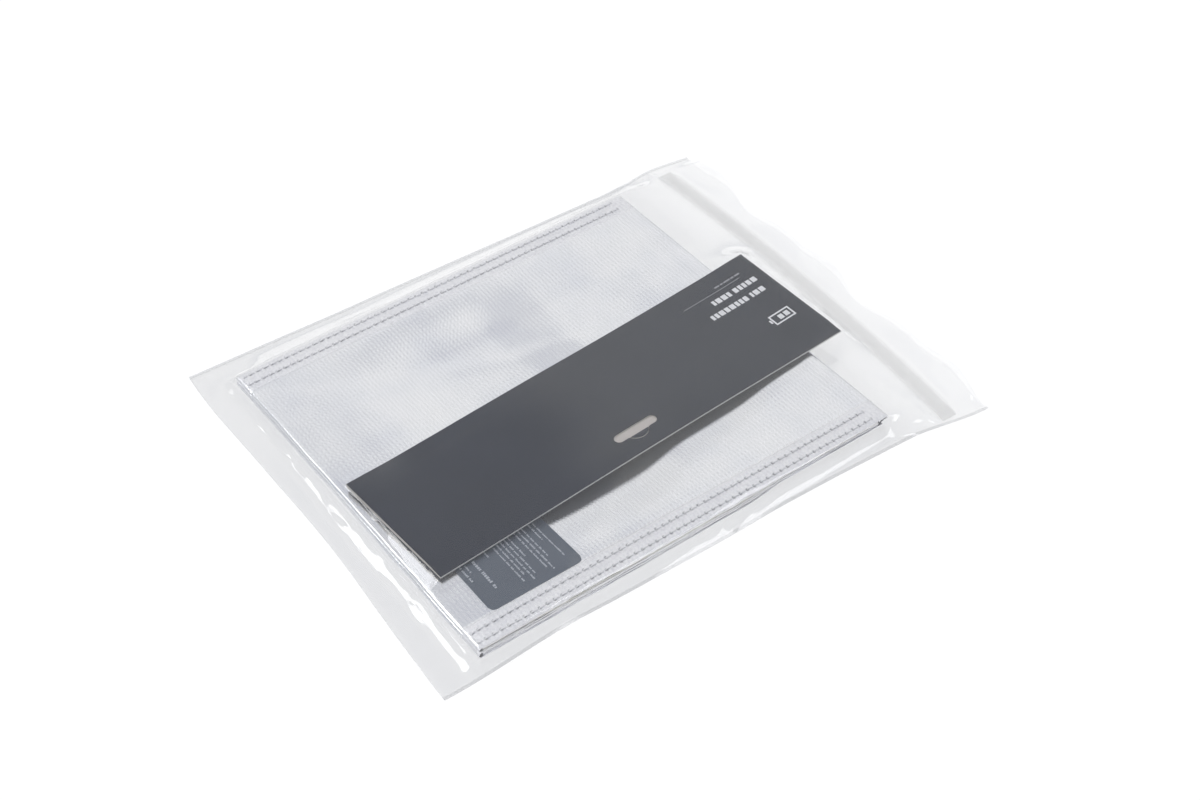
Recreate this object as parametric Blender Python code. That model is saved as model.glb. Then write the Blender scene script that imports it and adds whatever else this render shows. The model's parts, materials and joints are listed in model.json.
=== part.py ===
"""Battery safe bag (aluminised glass cloth) with its folded header card, in a clear press-seal sleeve.

Metres, +Z up.  X runs from the sleeve's folded end to its press-seal mouth, Y across it, and Z = 0 is
the underside of the sleeve.  The origin is the centre of the sleeve's footprint.  "Front" is the
upper side, "back" the underside, "left" is +Y and "right" is -Y.  The bag, card, lip and flap are
drawn in their own frames.  Lengths are millimetres, scaled by MM where meshes and frames are made.
"""
import bpy
import bmesh
from math import asin, cos, degrees, radians, sin
from mathutils import Vector

for old in list(bpy.data.objects):
    bpy.data.objects.remove(old, do_unlink=True)

MM = 0.001
SIDES = (("left", 1), ("right", -1))
JOINT_GAP = 0.3     # between the edges of pieces that meet
PLY_GAP = 0.25      # between the faces of layers that lie together

# ---- sleeve dimensions ---------------------------------------------------------------------------
SLEEVE_L, SLEEVE_W = 302.6, 243.6
SLEEVE_END, SLEEVE_SIDE = SLEEVE_L / 2, SLEEVE_W / 2
FILM_T = 0.15                           # one film wall
WELD_W, WELD_T = 2.2, 0.45              # fused strip down each long side
FILM_SIDE = SLEEVE_SIDE - WELD_W - JOINT_GAP   # half width of the film between the welds
BACK_FILM_INSET = 0.9                   # back film's edge, from the folded end
FOLD_R = 0.3
FOLD_X = -SLEEVE_END + FOLD_R + FILM_T / 2 + 0.1
LIP_X, LIP_AXIS_Z = 104.0, 9.5          # line where the front lip starts to lift
MOUTH_HALF = 117.6                      # half length of the press-seal
ZIP_X, ZIP_HALF_W = 132.5, 7.8 / 2

# underside of the front film
SHOULDER_OUT = 1.6                      # plan margin of the film's shoulder round the bag
FILM_TOP_Z, FILM_EDGE_Z = 9.4, 2 * FOLD_R
FILM_FOOT_Z = 1.4                       # halfway between shoulder and weld
FILM_END_X, FILM_END_Z = -SLEEVE_END + 6.5, 1.3
FILM_MID_Y = [-54, -10, 32]             # inner points of every cross row

# ---- bag dimensions ------------------------------------------------------------------------------
BAG_L, BAG_W = 235.4, 213.7             # closed and flat
BAG_SIDE = BAG_W / 2
BAG_CENTRE, BAG_TURN = (-15.93, -1.30), radians(1.889)
CLOTH_T, LINING_T = 0.4, 0.25
LINING_STEP = CLOTH_T / 2 + PLY_GAP + LINING_T / 2   # between the centres of cloth and lining
SEAM_W = 13.4                           # pressed seam band along each long side
SEAM_EDGE_INSET = 0.4
LINING_SIDE = BAG_SIDE - SEAM_W - JOINT_GAP

# heights of the layers, centre of each cloth
FRONT_Z = 7.5
BACK_Z = 3.8                            # near the mouth, above the folded flap
BACK_LOW_Z = 1.1                        # towards the gusset, where nothing lies under the body
FLAP_Z = 1.05
LEAF_TOP_Z, LEAF_LOW_Z = 4.9, 4.2       # the two tucked leaves of the gusset

GUSSET_X = -116.2                       # centre line of the gusset's outer folds
TUCK_X = GUSSET_X + 28.0                # centre line of its tucked fold
RAMP_LOW_X, RAMP_TOP_X = 32.0, 50.0     # the back rises between these to clear the flap

# the cloth turns round this axis at the mouth
HINGE_R = (FRONT_Z - FLAP_Z) / 2
HINGE_Z = (FRONT_Z + FLAP_Z) / 2
HINGE_X = BAG_L / 2 - HINGE_R - CLOTH_T / 2
BODY_START_X, BODY_END_X = GUSSET_X + JOINT_GAP, HINGE_X - JOINT_GAP
BACK_END_X = HINGE_X - 1.2

FLAP_L, FLAP_W = 60.0, 208.0            # closing flap, folded under
FLAP_SIDE = FLAP_W / 2
HOOK_W, HOOK_L, HOOK_T = 20.0, 176.0, 0.6
LOOP_W, LOOP_L, LOOP_T = 26.0, 188.0, 0.5
TAPE_X = -FLAP_L + 4.0 + LOOP_W / 2     # centre line of both tapes, in the flap's frame
TAPE_END_INSET = 1.5                    # tape stitching, from the tape's ends
FLAP_THREAD_R, FLAP_THREAD_Z = 0.17, 0.52
LABEL_L, LABEL_W, LABEL_R = 49.5, 50.0, 3.0
LABEL_CENTRE = (-76.7, -68.2)

STITCH = 4.0                            # stitch pitch
ROW_INSETS = (3.0, 9.0)                 # the two rows of each side seam, from the bag's edge
SEAM_START_X, SEAM_END_X = -BAG_L / 2 + 2.6, BAG_L / 2 - 9.2
NEEDLE_Z = FRONT_Z + CLOTH_T / 2 + 0.4
STITCH_RISE = 0.2                       # height of mid-stitch above the needle holes
TURN_OUT = 0.2                          # reach of the U-turn past the rows' ends
BOBBIN_DROP = 0.55                      # below the centre of the back cloth

# ---- card dimensions -----------------------------------------------------------------------------
CARD_L, CARD_W, CARD_T = 245.9, 73.5, 0.3
CARD_CENTRE, CARD_TURN = (-4.06, -22.13), radians(5.323)
CARD_BACK_Z, CARD_FRONT_Z = 8.35, 8.95  # centres of the two leaves
SLOT_L, SLOT_R = 25.0, 5.2 / 2
SLOT_X, SLOT_Y = 1.0, -22.8
MOON_R = 6.5
TAB_CUT, TAB_CHORD_GAP = 0.3, 0.05      # clearance round a tab's arc and at its straight edge
BACK_MOON_INSET = 0.25
CUTTER_REACH = 2.0                      # cutters run this far beyond a leaf's centre


# ---- paths and outlines --------------------------------------------------------------------------
def lerp(start, end, part):
    return start + (end - start) * part


def clamp(value):
    return min(1, max(0, value))


def side_span(sign, inner, outer):
    """Two distances from the centre line, as an ascending pair of y on the given side."""
    return sorted((sign * inner, sign * outer))


def rectangle(x0, x1, y0, y1):
    return [(x0, y0), (x1, y0), (x1, y1), (x0, y1)]


def arc(centre_a, centre_b, radius, start, end, steps):
    """Points of an arc in a plane (a, b), angles in degrees from +a towards +b."""
    angles = [radians(start + (end - start) * i / steps) for i in range(steps + 1)]
    return [(centre_a + radius * cos(t), centre_b + radius * sin(t)) for t in angles]


def rounded_rectangle(centre, length, width, radius, steps=5):
    points = []
    for sx, sy, start in ((1, 1, 0), (-1, 1, 90), (-1, -1, 180), (1, -1, 270)):
        points += arc(centre[0] + sx * (length / 2 - radius), centre[1] + sy * (width / 2 - radius),
                      radius, start, start + 90, steps)
    return points


def mitre(path, i, limit, closed=False):
    """Sideways step at point i, scaled so that both segments there shift by 1.
    `limit` is the least divisor, which keeps sharp bends from shooting out."""
    count = len(path)
    normals = []
    for a, b in ((i - 1, i), (i, i + 1)):
        if closed:
            a, b = a % count, b % count
        elif a < 0 or b >= count:
            continue
        run = Vector((path[b][0] - path[a][0], path[b][1] - path[a][1])).normalized()
        normals.append(Vector((-run.y, run.x)))
    side = sum(normals, Vector((0, 0))).normalized()
    return side / max(limit, side.dot(normals[0]))


def offset_line(line, distance):
    """The line moved sideways, mitred at its bends."""
    steps = [mitre(line, i, limit=0.35) * distance for i in range(len(line))]
    return [(a + step.x, b + step.y) for (a, b), step in zip(line, steps)]


# ---- object builders -----------------------------------------------------------------------------
def frame(name, at, turn=0.0, parent=None):
    """An empty that carries a group of parts; `at` is in its parent's frame."""
    empty = bpy.data.objects.new(name, None)
    empty.empty_display_size = 0.02
    empty.location = Vector(at) * MM
    empty.rotation_euler = (0, 0, turn)
    empty.parent = parent
    bpy.context.scene.collection.objects.link(empty)
    return empty


def clean_mesh(mesh):
    """Merge coincident points, split large faces and turn all normals outwards."""
    bm = bmesh.new()
    bm.from_mesh(mesh)
    bmesh.ops.remove_doubles(bm, verts=bm.verts, dist=1e-7)
    bmesh.ops.triangulate(bm, faces=[f for f in bm.faces if len(f.verts) > 4])
    bmesh.ops.recalc_face_normals(bm, faces=bm.faces)
    bm.to_mesh(mesh)
    bm.free()


def place(name, verts, faces, parent, mat, sharp_angle):
    """A closed mesh in its parent's frame; edges over sharp_angle degrees stay sharp."""
    mesh = bpy.data.meshes.new(name)
    mesh.from_pydata([Vector(v) * MM for v in verts], [], faces)
    clean_mesh(mesh)
    mesh.materials.append(mat)
    mesh.shade_smooth()
    mesh.set_sharp_from_angle(angle=radians(sharp_angle))
    ob = bpy.data.objects.new(name, mesh)
    ob.parent = parent
    bpy.context.scene.collection.objects.link(ob)
    return ob


# a section point and its place along the axis, as (x, y, z)
ALONG = {
    "x": lambda point, at: (at, point[0], point[1]),
    "y": lambda point, at: (point[0], at, point[1]),
    "z": lambda point, at: (point[0], point[1], at),
}


def extrude(name, ring, start, end, parent, mat, axis, caps=None, sharp_angle=30):
    """A closed section drawn along an axis; `caps` lists the faces of one end, by default a single
    face."""
    n = len(ring)
    verts = [ALONG[axis](p, at) for at in (start, end) for p in ring]
    faces = [(i, (i + 1) % n, (i + 1) % n + n, i + n) for i in range(n)]
    faces += [tuple(base + i for i in cap) for base in (0, n) for cap in caps or [range(n)]]
    return place(name, verts, faces, parent, mat, sharp_angle)


def slab(name, outline, z0, z1, parent, mat):
    """A flat plate from a plan outline."""
    return extrude(name, outline, z0, z1, parent, mat, axis="z")


def cloth(name, line, thickness, half, parent, mat, axis="y"):
    """A sheet whose section follows `line`, running from -half to +half along the axis."""
    ring = offset_line(line, thickness / 2) + offset_line(line, -thickness / 2)[::-1]
    n = len(ring)
    caps = [(i, i + 1, n - 2 - i, n - 1 - i) for i in range(len(line) - 1)]
    return extrude(name, ring, -half, half, parent, mat, axis, caps, sharp_angle=40)


def film_skin(name, rows, parent):
    """A film from a grid of points of its lower face, thickened upwards."""
    row_count, columns = len(rows), len(rows[0])
    low = [p for row in rows for p in row]
    verts = low + [(x, y, z + FILM_T) for x, y, z in low]
    top = len(low)
    faces = []
    for i in range(row_count - 1):
        for j in range(columns - 1):
            a = i * columns + j
            b, c, d = a + 1, a + columns + 1, a + columns
            for base in (0, top):
                faces += [(a + base, b + base, c + base), (a + base, c + base, d + base)]
    last_row, last_column = row_count - 1, columns - 1
    rim = [(0, j) for j in range(columns)] + [(i, last_column) for i in range(1, row_count)]
    rim += [(last_row, j) for j in range(columns - 2, -1, -1)]
    rim += [(i, 0) for i in range(row_count - 2, 0, -1)]
    ids = [i * columns + j for i, j in rim]
    faces += [(p, q, q + top, p + top) for p, q in zip(ids, ids[1:] + ids[:1])]
    return place(name, verts, faces, parent, CLEAR_FILM, sharp_angle=60)


def thread(name, path, radius, parent, closed=False):
    """One continuous thread: a three-sided cord along a path of (x, y, z)."""
    n = len(path)
    verts, faces = [], []
    base_drop = Vector((0, 0, -0.6 * radius))
    for i, point in enumerate(path):
        point = Vector(point)
        side = (mitre(path, i, limit=0.5, closed=closed) * radius).to_3d()
        verts += [point + side + base_drop, point - side + base_drop, point + Vector((0, 0, radius))]
    for i in range(n if closed else n - 1):
        a, b = 3 * i, 3 * ((i + 1) % n)
        faces += [(a + q, a + (q + 1) % 3, b + (q + 1) % 3, b + q) for q in range(3)]
    if not closed:
        faces += [(0, 1, 2), (3 * n - 1, 3 * n - 2, 3 * n - 3)]
    return place(name, verts, faces, parent, THREAD, sharp_angle=80)


# ---- materials -----------------------------------------------------------------------------------
def material(name, colour, roughness, metallic=0.0, alpha=1.0):
    mat = bpy.data.materials.new(name)
    mat.use_nodes = True
    inputs = mat.node_tree.nodes["Principled BSDF"].inputs
    inputs["Base Color"].default_value = (*colour, 1)
    inputs["Roughness"].default_value = roughness
    inputs["Metallic"].default_value = metallic
    inputs["Alpha"].default_value = alpha
    mat.diffuse_color = (*colour, alpha)
    return mat


CLEAR_FILM = material("clear_film", colour=(0.93, 0.94, 0.95), roughness=0.12, alpha=0.28)
ZIP_PLASTIC = material("zip_plastic", colour=(0.90, 0.93, 0.97), roughness=0.25, alpha=0.6)
SILVER_CLOTH = material("silver_cloth", colour=(0.80, 0.81, 0.84), roughness=0.32, metallic=0.75)
GLASS_CLOTH = material("glass_cloth", colour=(0.86, 0.85, 0.80), roughness=0.75)
THREAD = material("thread", colour=(0.62, 0.61, 0.66), roughness=0.7)
HOOK_TAPE = material("hook_tape", colour=(0.55, 0.56, 0.58), roughness=0.8)
LOOP_TAPE = material("loop_tape", colour=(0.60, 0.61, 0.63), roughness=0.95)
CARD_PRINT = material("card_print", colour=(0.055, 0.062, 0.08), roughness=0.35)
LABEL_INK = material("label_ink", colour=(0.10, 0.125, 0.16), roughness=0.5)


# ---- clear sleeve --------------------------------------------------------------------------------
def sleeve_back(sleeve):
    """Back film, the weld down each side, and the fold at the closed end."""
    slab("sleeve_back_film",
         rectangle(-SLEEVE_END + BACK_FILM_INSET, SLEEVE_END, -FILM_SIDE, FILM_SIDE),
         0, FILM_T, sleeve, CLEAR_FILM)
    for side, sign in SIDES:
        y0, y1 = side_span(sign, SLEEVE_SIDE - WELD_W, SLEEVE_SIDE)
        slab("sleeve_weld_" + side, rectangle(-SLEEVE_END, SLEEVE_END, y0, y1),
             0, WELD_T, sleeve, CLEAR_FILM)
    cloth("sleeve_bottom_fold", arc(FOLD_X, FILM_T / 2 + FOLD_R, FOLD_R, -90, -270, 8),
          FILM_T, FILM_SIDE, sleeve, CLEAR_FILM)


def shoulder_corner(end, side):
    """Corner of the film's shoulder in the sleeve's frame; end and side are the signs of x and y."""
    x, y = end * (BAG_L / 2 + SHOULDER_OUT), side * (BAG_SIDE + SHOULDER_OUT)
    return (BAG_CENTRE[0] + x * cos(BAG_TURN) - y * sin(BAG_TURN),
            BAG_CENTRE[1] + x * sin(BAG_TURN) + y * cos(BAG_TURN))


def shoulder_y(x, side):
    """The shoulder's long side, taken past its ends, at the sleeve coordinate x."""
    (x0, y0), (x1, y1) = shoulder_corner(-1, side), shoulder_corner(1, side)
    return lerp(y0, y1, (x - x0) / (x1 - x0))


def across(right_foot, right, left, left_foot):
    """The nine y of a film row, from its right edge to its left."""
    return [-FILM_SIDE, right_foot, right, *FILM_MID_Y, left, left_foot, FILM_SIDE]


def across_shoulders(right, left):
    return across((right - FILM_SIDE) / 2, right, left, (left + FILM_SIDE) / 2)


def heights(foot, shoulder, middle):
    """The nine z of a film row, alike on both sides."""
    return [FILM_EDGE_Z, foot, shoulder, *[middle] * 3, shoulder, foot, FILM_EDGE_Z]


def film_row(x, ys, zs):
    return [(x, y, z) for y, z in zip(ys, zs)]


FULL_HEIGHT = heights(FILM_FOOT_Z, FILM_TOP_Z, FILM_TOP_Z)


def sleeve_front(sleeve):
    """Front film from the folded end over the bag to the lip."""
    (right_x, right_y), (left_x, left_y) = shoulder_corner(-1, -1), shoulder_corner(-1, 1)
    ys = across_shoulders(right_y, left_y)
    low = heights(FILM_END_Z, FILM_END_Z, FILM_END_Z)
    # this row follows the slanted end of the bag
    shoulder = [(lerp(right_x, left_x, clamp((y - right_y) / (left_y - right_y))), y, z)
                for y, z in zip(ys, FULL_HEIGHT)]
    end_x = LIP_X - JOINT_GAP
    end_ys = across_shoulders(shoulder_y(end_x, -1), shoulder_y(end_x, 1))
    film_skin("sleeve_front_film", [
        film_row(FOLD_X + JOINT_GAP, ys, [FILM_EDGE_Z] * len(ys)),
        film_row(FILM_END_X, ys, low),
        shoulder,
        film_row(end_x, end_ys, FULL_HEIGHT),
    ], sleeve)


def front_lip(lip):
    """From the end of the bag over the card's end, down to the press-seal and out to the mouth."""
    bag_ys = across_shoulders(shoulder_y(LIP_X, -1), shoulder_y(LIP_X, 1))
    slope_ys = across(-115, -106, 108, 115)
    mouth_ys = across(-118.3, -106, 108, 118.3)
    seal_heights = heights(2.35, 2.35, 2.35)
    # sleeve x, y across, z across
    stations = [
        (LIP_X, bag_ys, FULL_HEIGHT),
        (107.6, bag_ys, FULL_HEIGHT),
        (123.2, slope_ys, heights(1.1, 3.0, FILM_TOP_Z)),
        (127.4, mouth_ys, seal_heights),
        (137.6, mouth_ys, seal_heights),
        (SLEEVE_END, mouth_ys, heights(1.3, 1.3, 1.3)),
    ]
    film_skin("sleeve_front_lip",
              [film_row(x - LIP_X, ys, [z - LIP_AXIS_Z for z in zs]) for x, ys, zs in stations], lip)


def press_seal(sleeve, lip):
    """A ridge on the lip closes between two claws on the back film."""
    # sections: x from the seal's centre line, z in the sleeve's frame
    w = ZIP_HALF_W
    ridge = [(-w, 2.05), (-w, 1.8), (-0.4, 1.8), (-0.4, 0.98),
             (0.4, 0.98), (0.4, 1.8), (w, 1.8), (w, 2.05)]
    claws = [(-w, 0.45), (w, 0.45), (w, 0.7), (1.3, 0.7), (1.3, 1.4), (0.75, 1.4), (0.75, 0.7),
             (-0.75, 0.7), (-0.75, 1.4), (-1.3, 1.4), (-1.3, 0.7), (-w, 0.7)]
    extrude("zip_ridge_strip", [(ZIP_X + x - LIP_X, z - LIP_AXIS_Z) for x, z in ridge],
            -MOUTH_HALF, MOUTH_HALF, lip, ZIP_PLASTIC, axis="y")
    extrude("zip_claw_strip", [(ZIP_X + x, z) for x, z in claws],
            -MOUTH_HALF, MOUTH_HALF, sleeve, ZIP_PLASTIC, axis="y")


# ---- silver bag ----------------------------------------------------------------------------------
def back_z(x):
    """Centre height of the back cloth."""
    return lerp(BACK_LOW_Z, BACK_Z, clamp((x - RAMP_LOW_X) / (RAMP_TOP_X - RAMP_LOW_X)))


def gusset_line(inset, fold_steps, tuck_steps):
    """W-shaped section of the gusset, moved into the bag by `inset`."""
    def fold(x, z0, z1, grow, start, end, steps):
        return arc(x, (z0 + z1) / 2, (z0 - z1) / 2 + grow, start, end, steps)

    return (fold(GUSSET_X, FRONT_Z, LEAF_TOP_Z, -inset, 90, 270, fold_steps)
            + fold(TUCK_X, LEAF_TOP_Z, LEAF_LOW_Z, inset, 90, -90, tuck_steps)
            + fold(GUSSET_X, LEAF_LOW_Z, BACK_LOW_Z, -inset, 90, 270, fold_steps))


def bag_layer(prefix, inset, thickness, half, fold_steps, tuck_steps, bag, mat):
    """Front, gusset and back of one layer, lying `inset` inside the outer cloth."""
    front_z = FRONT_Z - inset
    back_xs = (BODY_START_X, RAMP_LOW_X, RAMP_TOP_X, BACK_END_X)
    lines = {
        "front": [(BODY_START_X, front_z), (BODY_END_X, front_z)],
        "gusset": gusset_line(inset, fold_steps, tuck_steps),
        "back": [(x, back_z(x) + inset) for x in back_xs],
    }
    for part, line in lines.items():
        cloth(prefix + part, line, thickness, half, bag, mat)


def mouth_fold(bag):
    """The cloth and lining turn round the mouth."""
    cloth("mouth_fold_cloth", arc(HINGE_X, HINGE_Z, HINGE_R, 90, -90, 12),
          CLOTH_T, FLAP_SIDE, bag, SILVER_CLOTH)
    cloth("mouth_fold_lining", arc(HINGE_X, HINGE_Z, HINGE_R - LINING_STEP, 90, -90, 10),
          LINING_T, LINING_SIDE, bag, GLASS_CLOTH)


def seam_allowance(side, sign, bag):
    """Filling of the pressed seam band, between the front and back cloths."""
    gap = CLOTH_T / 2 + PLY_GAP
    xs = [TUCK_X + 3.0, RAMP_LOW_X, RAMP_TOP_X, BODY_END_X - 2.0]
    section = [(x, back_z(x) + gap) for x in xs] + [(x, FRONT_Z - gap) for x in xs[::-1]]
    y0, y1 = side_span(sign, BAG_SIDE - SEAM_W, BAG_SIDE - SEAM_EDGE_INSET)
    extrude("seam_allowance_" + side, section, y0, y1, bag, GLASS_CLOTH, axis="y")


def side_seam(side, sign, bag):
    """Needle thread on top and bobbin thread below, each with a U-turn at the gusset end."""
    outer, inner = [sign * (BAG_SIDE - inset) for inset in ROW_INSETS]
    seam_l = SEAM_END_X - SEAM_START_X
    n = int(round(seam_l / STITCH)) * 2
    run = [(SEAM_END_X - seam_l * i / n, NEEDLE_Z + STITCH_RISE * (i % 2)) for i in range(n + 1)]
    top = [(x, outer, z) for x, z in run]
    top.append((SEAM_START_X - TURN_OUT, (outer + inner) / 2, NEEDLE_Z + STITCH_RISE))
    top += [(x, inner, z) for x, z in run[::-1]]
    thread("needle_thread_" + side, top, 0.3, bag)

    run = [(x, back_z(x) - BOBBIN_DROP)
           for x in (SEAM_END_X, RAMP_TOP_X, RAMP_LOW_X, SEAM_START_X)]
    low = [(x, outer, z) for x, z in run] + [(x, inner, z) for x, z in run[::-1]]
    thread("bobbin_thread_" + side, low, 0.2, bag)


def tape(name, x, length, width, z0, z1, inset, thread_z, thread_r, parent, mat):
    """A tape across the bag and the thread sewn round it, `inset` from its long edges."""
    slab(name, rectangle(x - width / 2, x + width / 2, -length / 2, length / 2), z0, z1, parent, mat)
    sewn_w, sewn_l = width / 2 - inset, length / 2 - TAPE_END_INSET
    path = [(*p, thread_z) for p in rectangle(x - sewn_w, x + sewn_w, -sewn_l, sewn_l)]
    thread(name + "_thread", path, thread_r, parent, closed=True)


def loop_tape(bag):
    """On the underside of the body; its sewn line lies outside the hook tape's footprint."""
    top = BACK_Z - CLOTH_T / 2 - PLY_GAP
    tape("loop_tape", HINGE_X + TAPE_X, LOOP_L, LOOP_W, top - LOOP_T, top,
         inset=1.3, thread_z=2.58, thread_r=0.14, parent=bag, mat=LOOP_TAPE)


def printed_label(bag):
    slab("printed_label", rounded_rectangle(LABEL_CENTRE, LABEL_L, LABEL_W, LABEL_R),
         FRONT_Z + 0.3, FRONT_Z + 0.4, bag, LABEL_INK)


def closing_flap(flap):
    """Flap under the body, with its hook tape and hem; the flap's frame is on the hinge axis."""
    cloth_z = FLAP_Z - HINGE_Z
    lining_z = cloth_z + LINING_STEP
    thread_z = FLAP_THREAD_Z - HINGE_Z
    cloth("flap_cloth", [(-JOINT_GAP, cloth_z), (-FLAP_L, cloth_z)],
          CLOTH_T, FLAP_SIDE, flap, SILVER_CLOTH)
    cloth("flap_lining", [(-JOINT_GAP, lining_z), (-FLAP_L + 1.5, lining_z)],
          LINING_T, FLAP_SIDE - 2, flap, GLASS_CLOTH)
    hook_z = lining_z + LINING_T / 2 + PLY_GAP
    tape("hook_tape", TAPE_X, HOOK_L, HOOK_W, hook_z, hook_z + HOOK_T,
         inset=1.5, thread_z=thread_z, thread_r=FLAP_THREAD_R, parent=flap, mat=HOOK_TAPE)
    hem = rectangle(-3.0, -FLAP_L + 1.6, -FLAP_SIDE + 2, FLAP_SIDE - 2)
    thread("flap_hem_thread", [(*p, thread_z) for p in hem], FLAP_THREAD_R, flap)


# ---- header card ---------------------------------------------------------------------------------
def moon_arc(radius, chord_drop, steps=20):
    """Half-moon bulging towards the folded edge; its chord is chord_drop from the slot's centre."""
    start = 180 + degrees(asin(chord_drop / radius))
    return arc(SLOT_X, SLOT_Y, radius, start, 540 - start, steps)


def slot_outline():
    """Euro slot with its half-moon."""
    reach = SLOT_L / 2 - SLOT_R
    return (arc(SLOT_X + reach, SLOT_Y, SLOT_R, -90, 90, 10)
            + arc(SLOT_X - reach, SLOT_Y, SLOT_R, 90, 270, 10)
            + moon_arc(MOON_R, SLOT_R))


def header_card(card):
    """Two leaves joined by a fold along the -Y edge, cut for hanging."""
    fold_r = (CARD_FRONT_Z - CARD_BACK_Z) / 2
    middle_z = (CARD_FRONT_Z + CARD_BACK_Z) / 2
    fold_y = -CARD_W / 2 + fold_r + CARD_T / 2
    line = [(CARD_W / 2, CARD_BACK_Z), *arc(fold_y, middle_z, fold_r, 270, 90, 8),
            (CARD_W / 2, CARD_FRONT_Z)]
    leaves = cloth("header_card", line, CARD_T, CARD_L / 2, card, CARD_PRINT, axis="x")

    # the back leaf's slot was never pushed out, so only the half-moon is cut there
    back_moon = moon_arc(MOON_R, SLOT_R - BACK_MOON_INSET)
    for leaf, outline, z0, z1 in (
            ("front", slot_outline(), middle_z, CARD_FRONT_Z + CUTTER_REACH),
            ("back", back_moon, CARD_BACK_Z - CUTTER_REACH, middle_z)):
        cutter = slab("slot_cutter_" + leaf, outline, z0, z1, card, CARD_PRINT)
        cutter.hide_render = True
        cutter.display_type = "WIRE"
        cut = leaves.modifiers.new("hang_slot_" + leaf, "BOOLEAN")
        cut.operation = "DIFFERENCE"
        cut.solver = "EXACT"
        cut.object = cutter


def slot_tabs(card):
    """The half-moon tab left in each leaf."""
    outline = moon_arc(MOON_R - TAB_CUT, SLOT_R + TAB_CHORD_GAP, steps=16)
    for leaf, z in (("front", CARD_FRONT_Z), ("back", CARD_BACK_Z)):
        slab("hang_slot_tab_" + leaf, outline, z - CARD_T / 2, z + CARD_T / 2, card, CARD_PRINT)


# ---- assembly ------------------------------------------------------------------------------------
sleeve_frame = frame("sleeve_frame", (0, 0, 0))
lip_frame = frame("lip_frame", (LIP_X, 0, LIP_AXIS_Z), parent=sleeve_frame)
bag_frame = frame("bag_frame", (*BAG_CENTRE, 0), BAG_TURN, sleeve_frame)
flap_frame = frame("flap_frame", (HINGE_X, 0, HINGE_Z), parent=bag_frame)
card_frame = frame("card_frame", (*CARD_CENTRE, 0), CARD_TURN, sleeve_frame)

sleeve_back(sleeve_frame)
sleeve_front(sleeve_frame)
front_lip(lip_frame)
press_seal(sleeve_frame, lip_frame)

bag_layer("outer_cloth_", inset=0, thickness=CLOTH_T, half=BAG_SIDE,
          fold_steps=10, tuck_steps=6, bag=bag_frame, mat=SILVER_CLOTH)
bag_layer("lining_", inset=LINING_STEP, thickness=LINING_T, half=LINING_SIDE,
          fold_steps=8, tuck_steps=8, bag=bag_frame, mat=GLASS_CLOTH)
mouth_fold(bag_frame)
for side_name, side_sign in SIDES:
    seam_allowance(side_name, side_sign, bag_frame)
    side_seam(side_name, side_sign, bag_frame)
loop_tape(bag_frame)
printed_label(bag_frame)
closing_flap(flap_frame)

header_card(card_frame)
slot_tabs(card_frame)
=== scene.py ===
# A silver cloth bag with a folded header card on its front, packed in a clear press-seal sleeve.
# The pack lies flat in the XY plane with its front facing +Z. The sleeve and the bag open
# towards +X; "left" names the +Y side. Sizes are millimetres unless a name says otherwise.
import json
import math

import bpy
import bmesh
import numpy as np
from mathutils import Matrix, Vector


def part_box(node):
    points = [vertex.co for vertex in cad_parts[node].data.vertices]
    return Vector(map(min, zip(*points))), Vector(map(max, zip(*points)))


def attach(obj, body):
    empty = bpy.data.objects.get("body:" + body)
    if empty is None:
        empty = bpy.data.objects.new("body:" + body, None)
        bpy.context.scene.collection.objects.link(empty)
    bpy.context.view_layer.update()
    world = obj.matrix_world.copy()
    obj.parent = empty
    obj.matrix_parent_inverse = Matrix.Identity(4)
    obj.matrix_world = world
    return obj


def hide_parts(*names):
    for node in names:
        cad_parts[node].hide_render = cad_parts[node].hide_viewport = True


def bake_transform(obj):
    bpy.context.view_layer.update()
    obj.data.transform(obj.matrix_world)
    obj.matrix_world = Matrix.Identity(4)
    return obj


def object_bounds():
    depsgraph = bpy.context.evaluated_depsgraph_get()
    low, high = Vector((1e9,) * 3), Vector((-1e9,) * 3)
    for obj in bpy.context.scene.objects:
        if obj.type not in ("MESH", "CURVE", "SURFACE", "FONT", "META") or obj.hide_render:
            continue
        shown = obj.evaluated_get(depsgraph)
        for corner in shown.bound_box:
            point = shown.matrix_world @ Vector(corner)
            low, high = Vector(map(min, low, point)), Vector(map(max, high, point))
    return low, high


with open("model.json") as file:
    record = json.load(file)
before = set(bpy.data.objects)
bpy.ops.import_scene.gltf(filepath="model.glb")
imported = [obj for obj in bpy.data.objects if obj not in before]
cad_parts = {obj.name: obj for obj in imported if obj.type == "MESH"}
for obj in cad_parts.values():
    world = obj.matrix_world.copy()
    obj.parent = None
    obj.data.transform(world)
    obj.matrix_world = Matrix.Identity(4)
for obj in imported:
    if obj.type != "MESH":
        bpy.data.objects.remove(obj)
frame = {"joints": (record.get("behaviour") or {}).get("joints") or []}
CAD_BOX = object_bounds()
MM = 0.001                                  # metres in a millimetre

# --- Sizes. A piece's plan frame is (centre, turn); "along" and "across" are measured in it ---
SLEEVE_X = CAD_BOX[1].x / MM                # half length of the sleeve
SLEEVE_Y = CAD_BOX[1].y / MM                # half width of the sleeve
Z_FRONT_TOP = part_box("outer_cloth_front")[1].z / MM
CLOTH_T = 0.4
Z_FRONT = Z_FRONT_TOP - 0.2                 # middle of the front cloth

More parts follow.
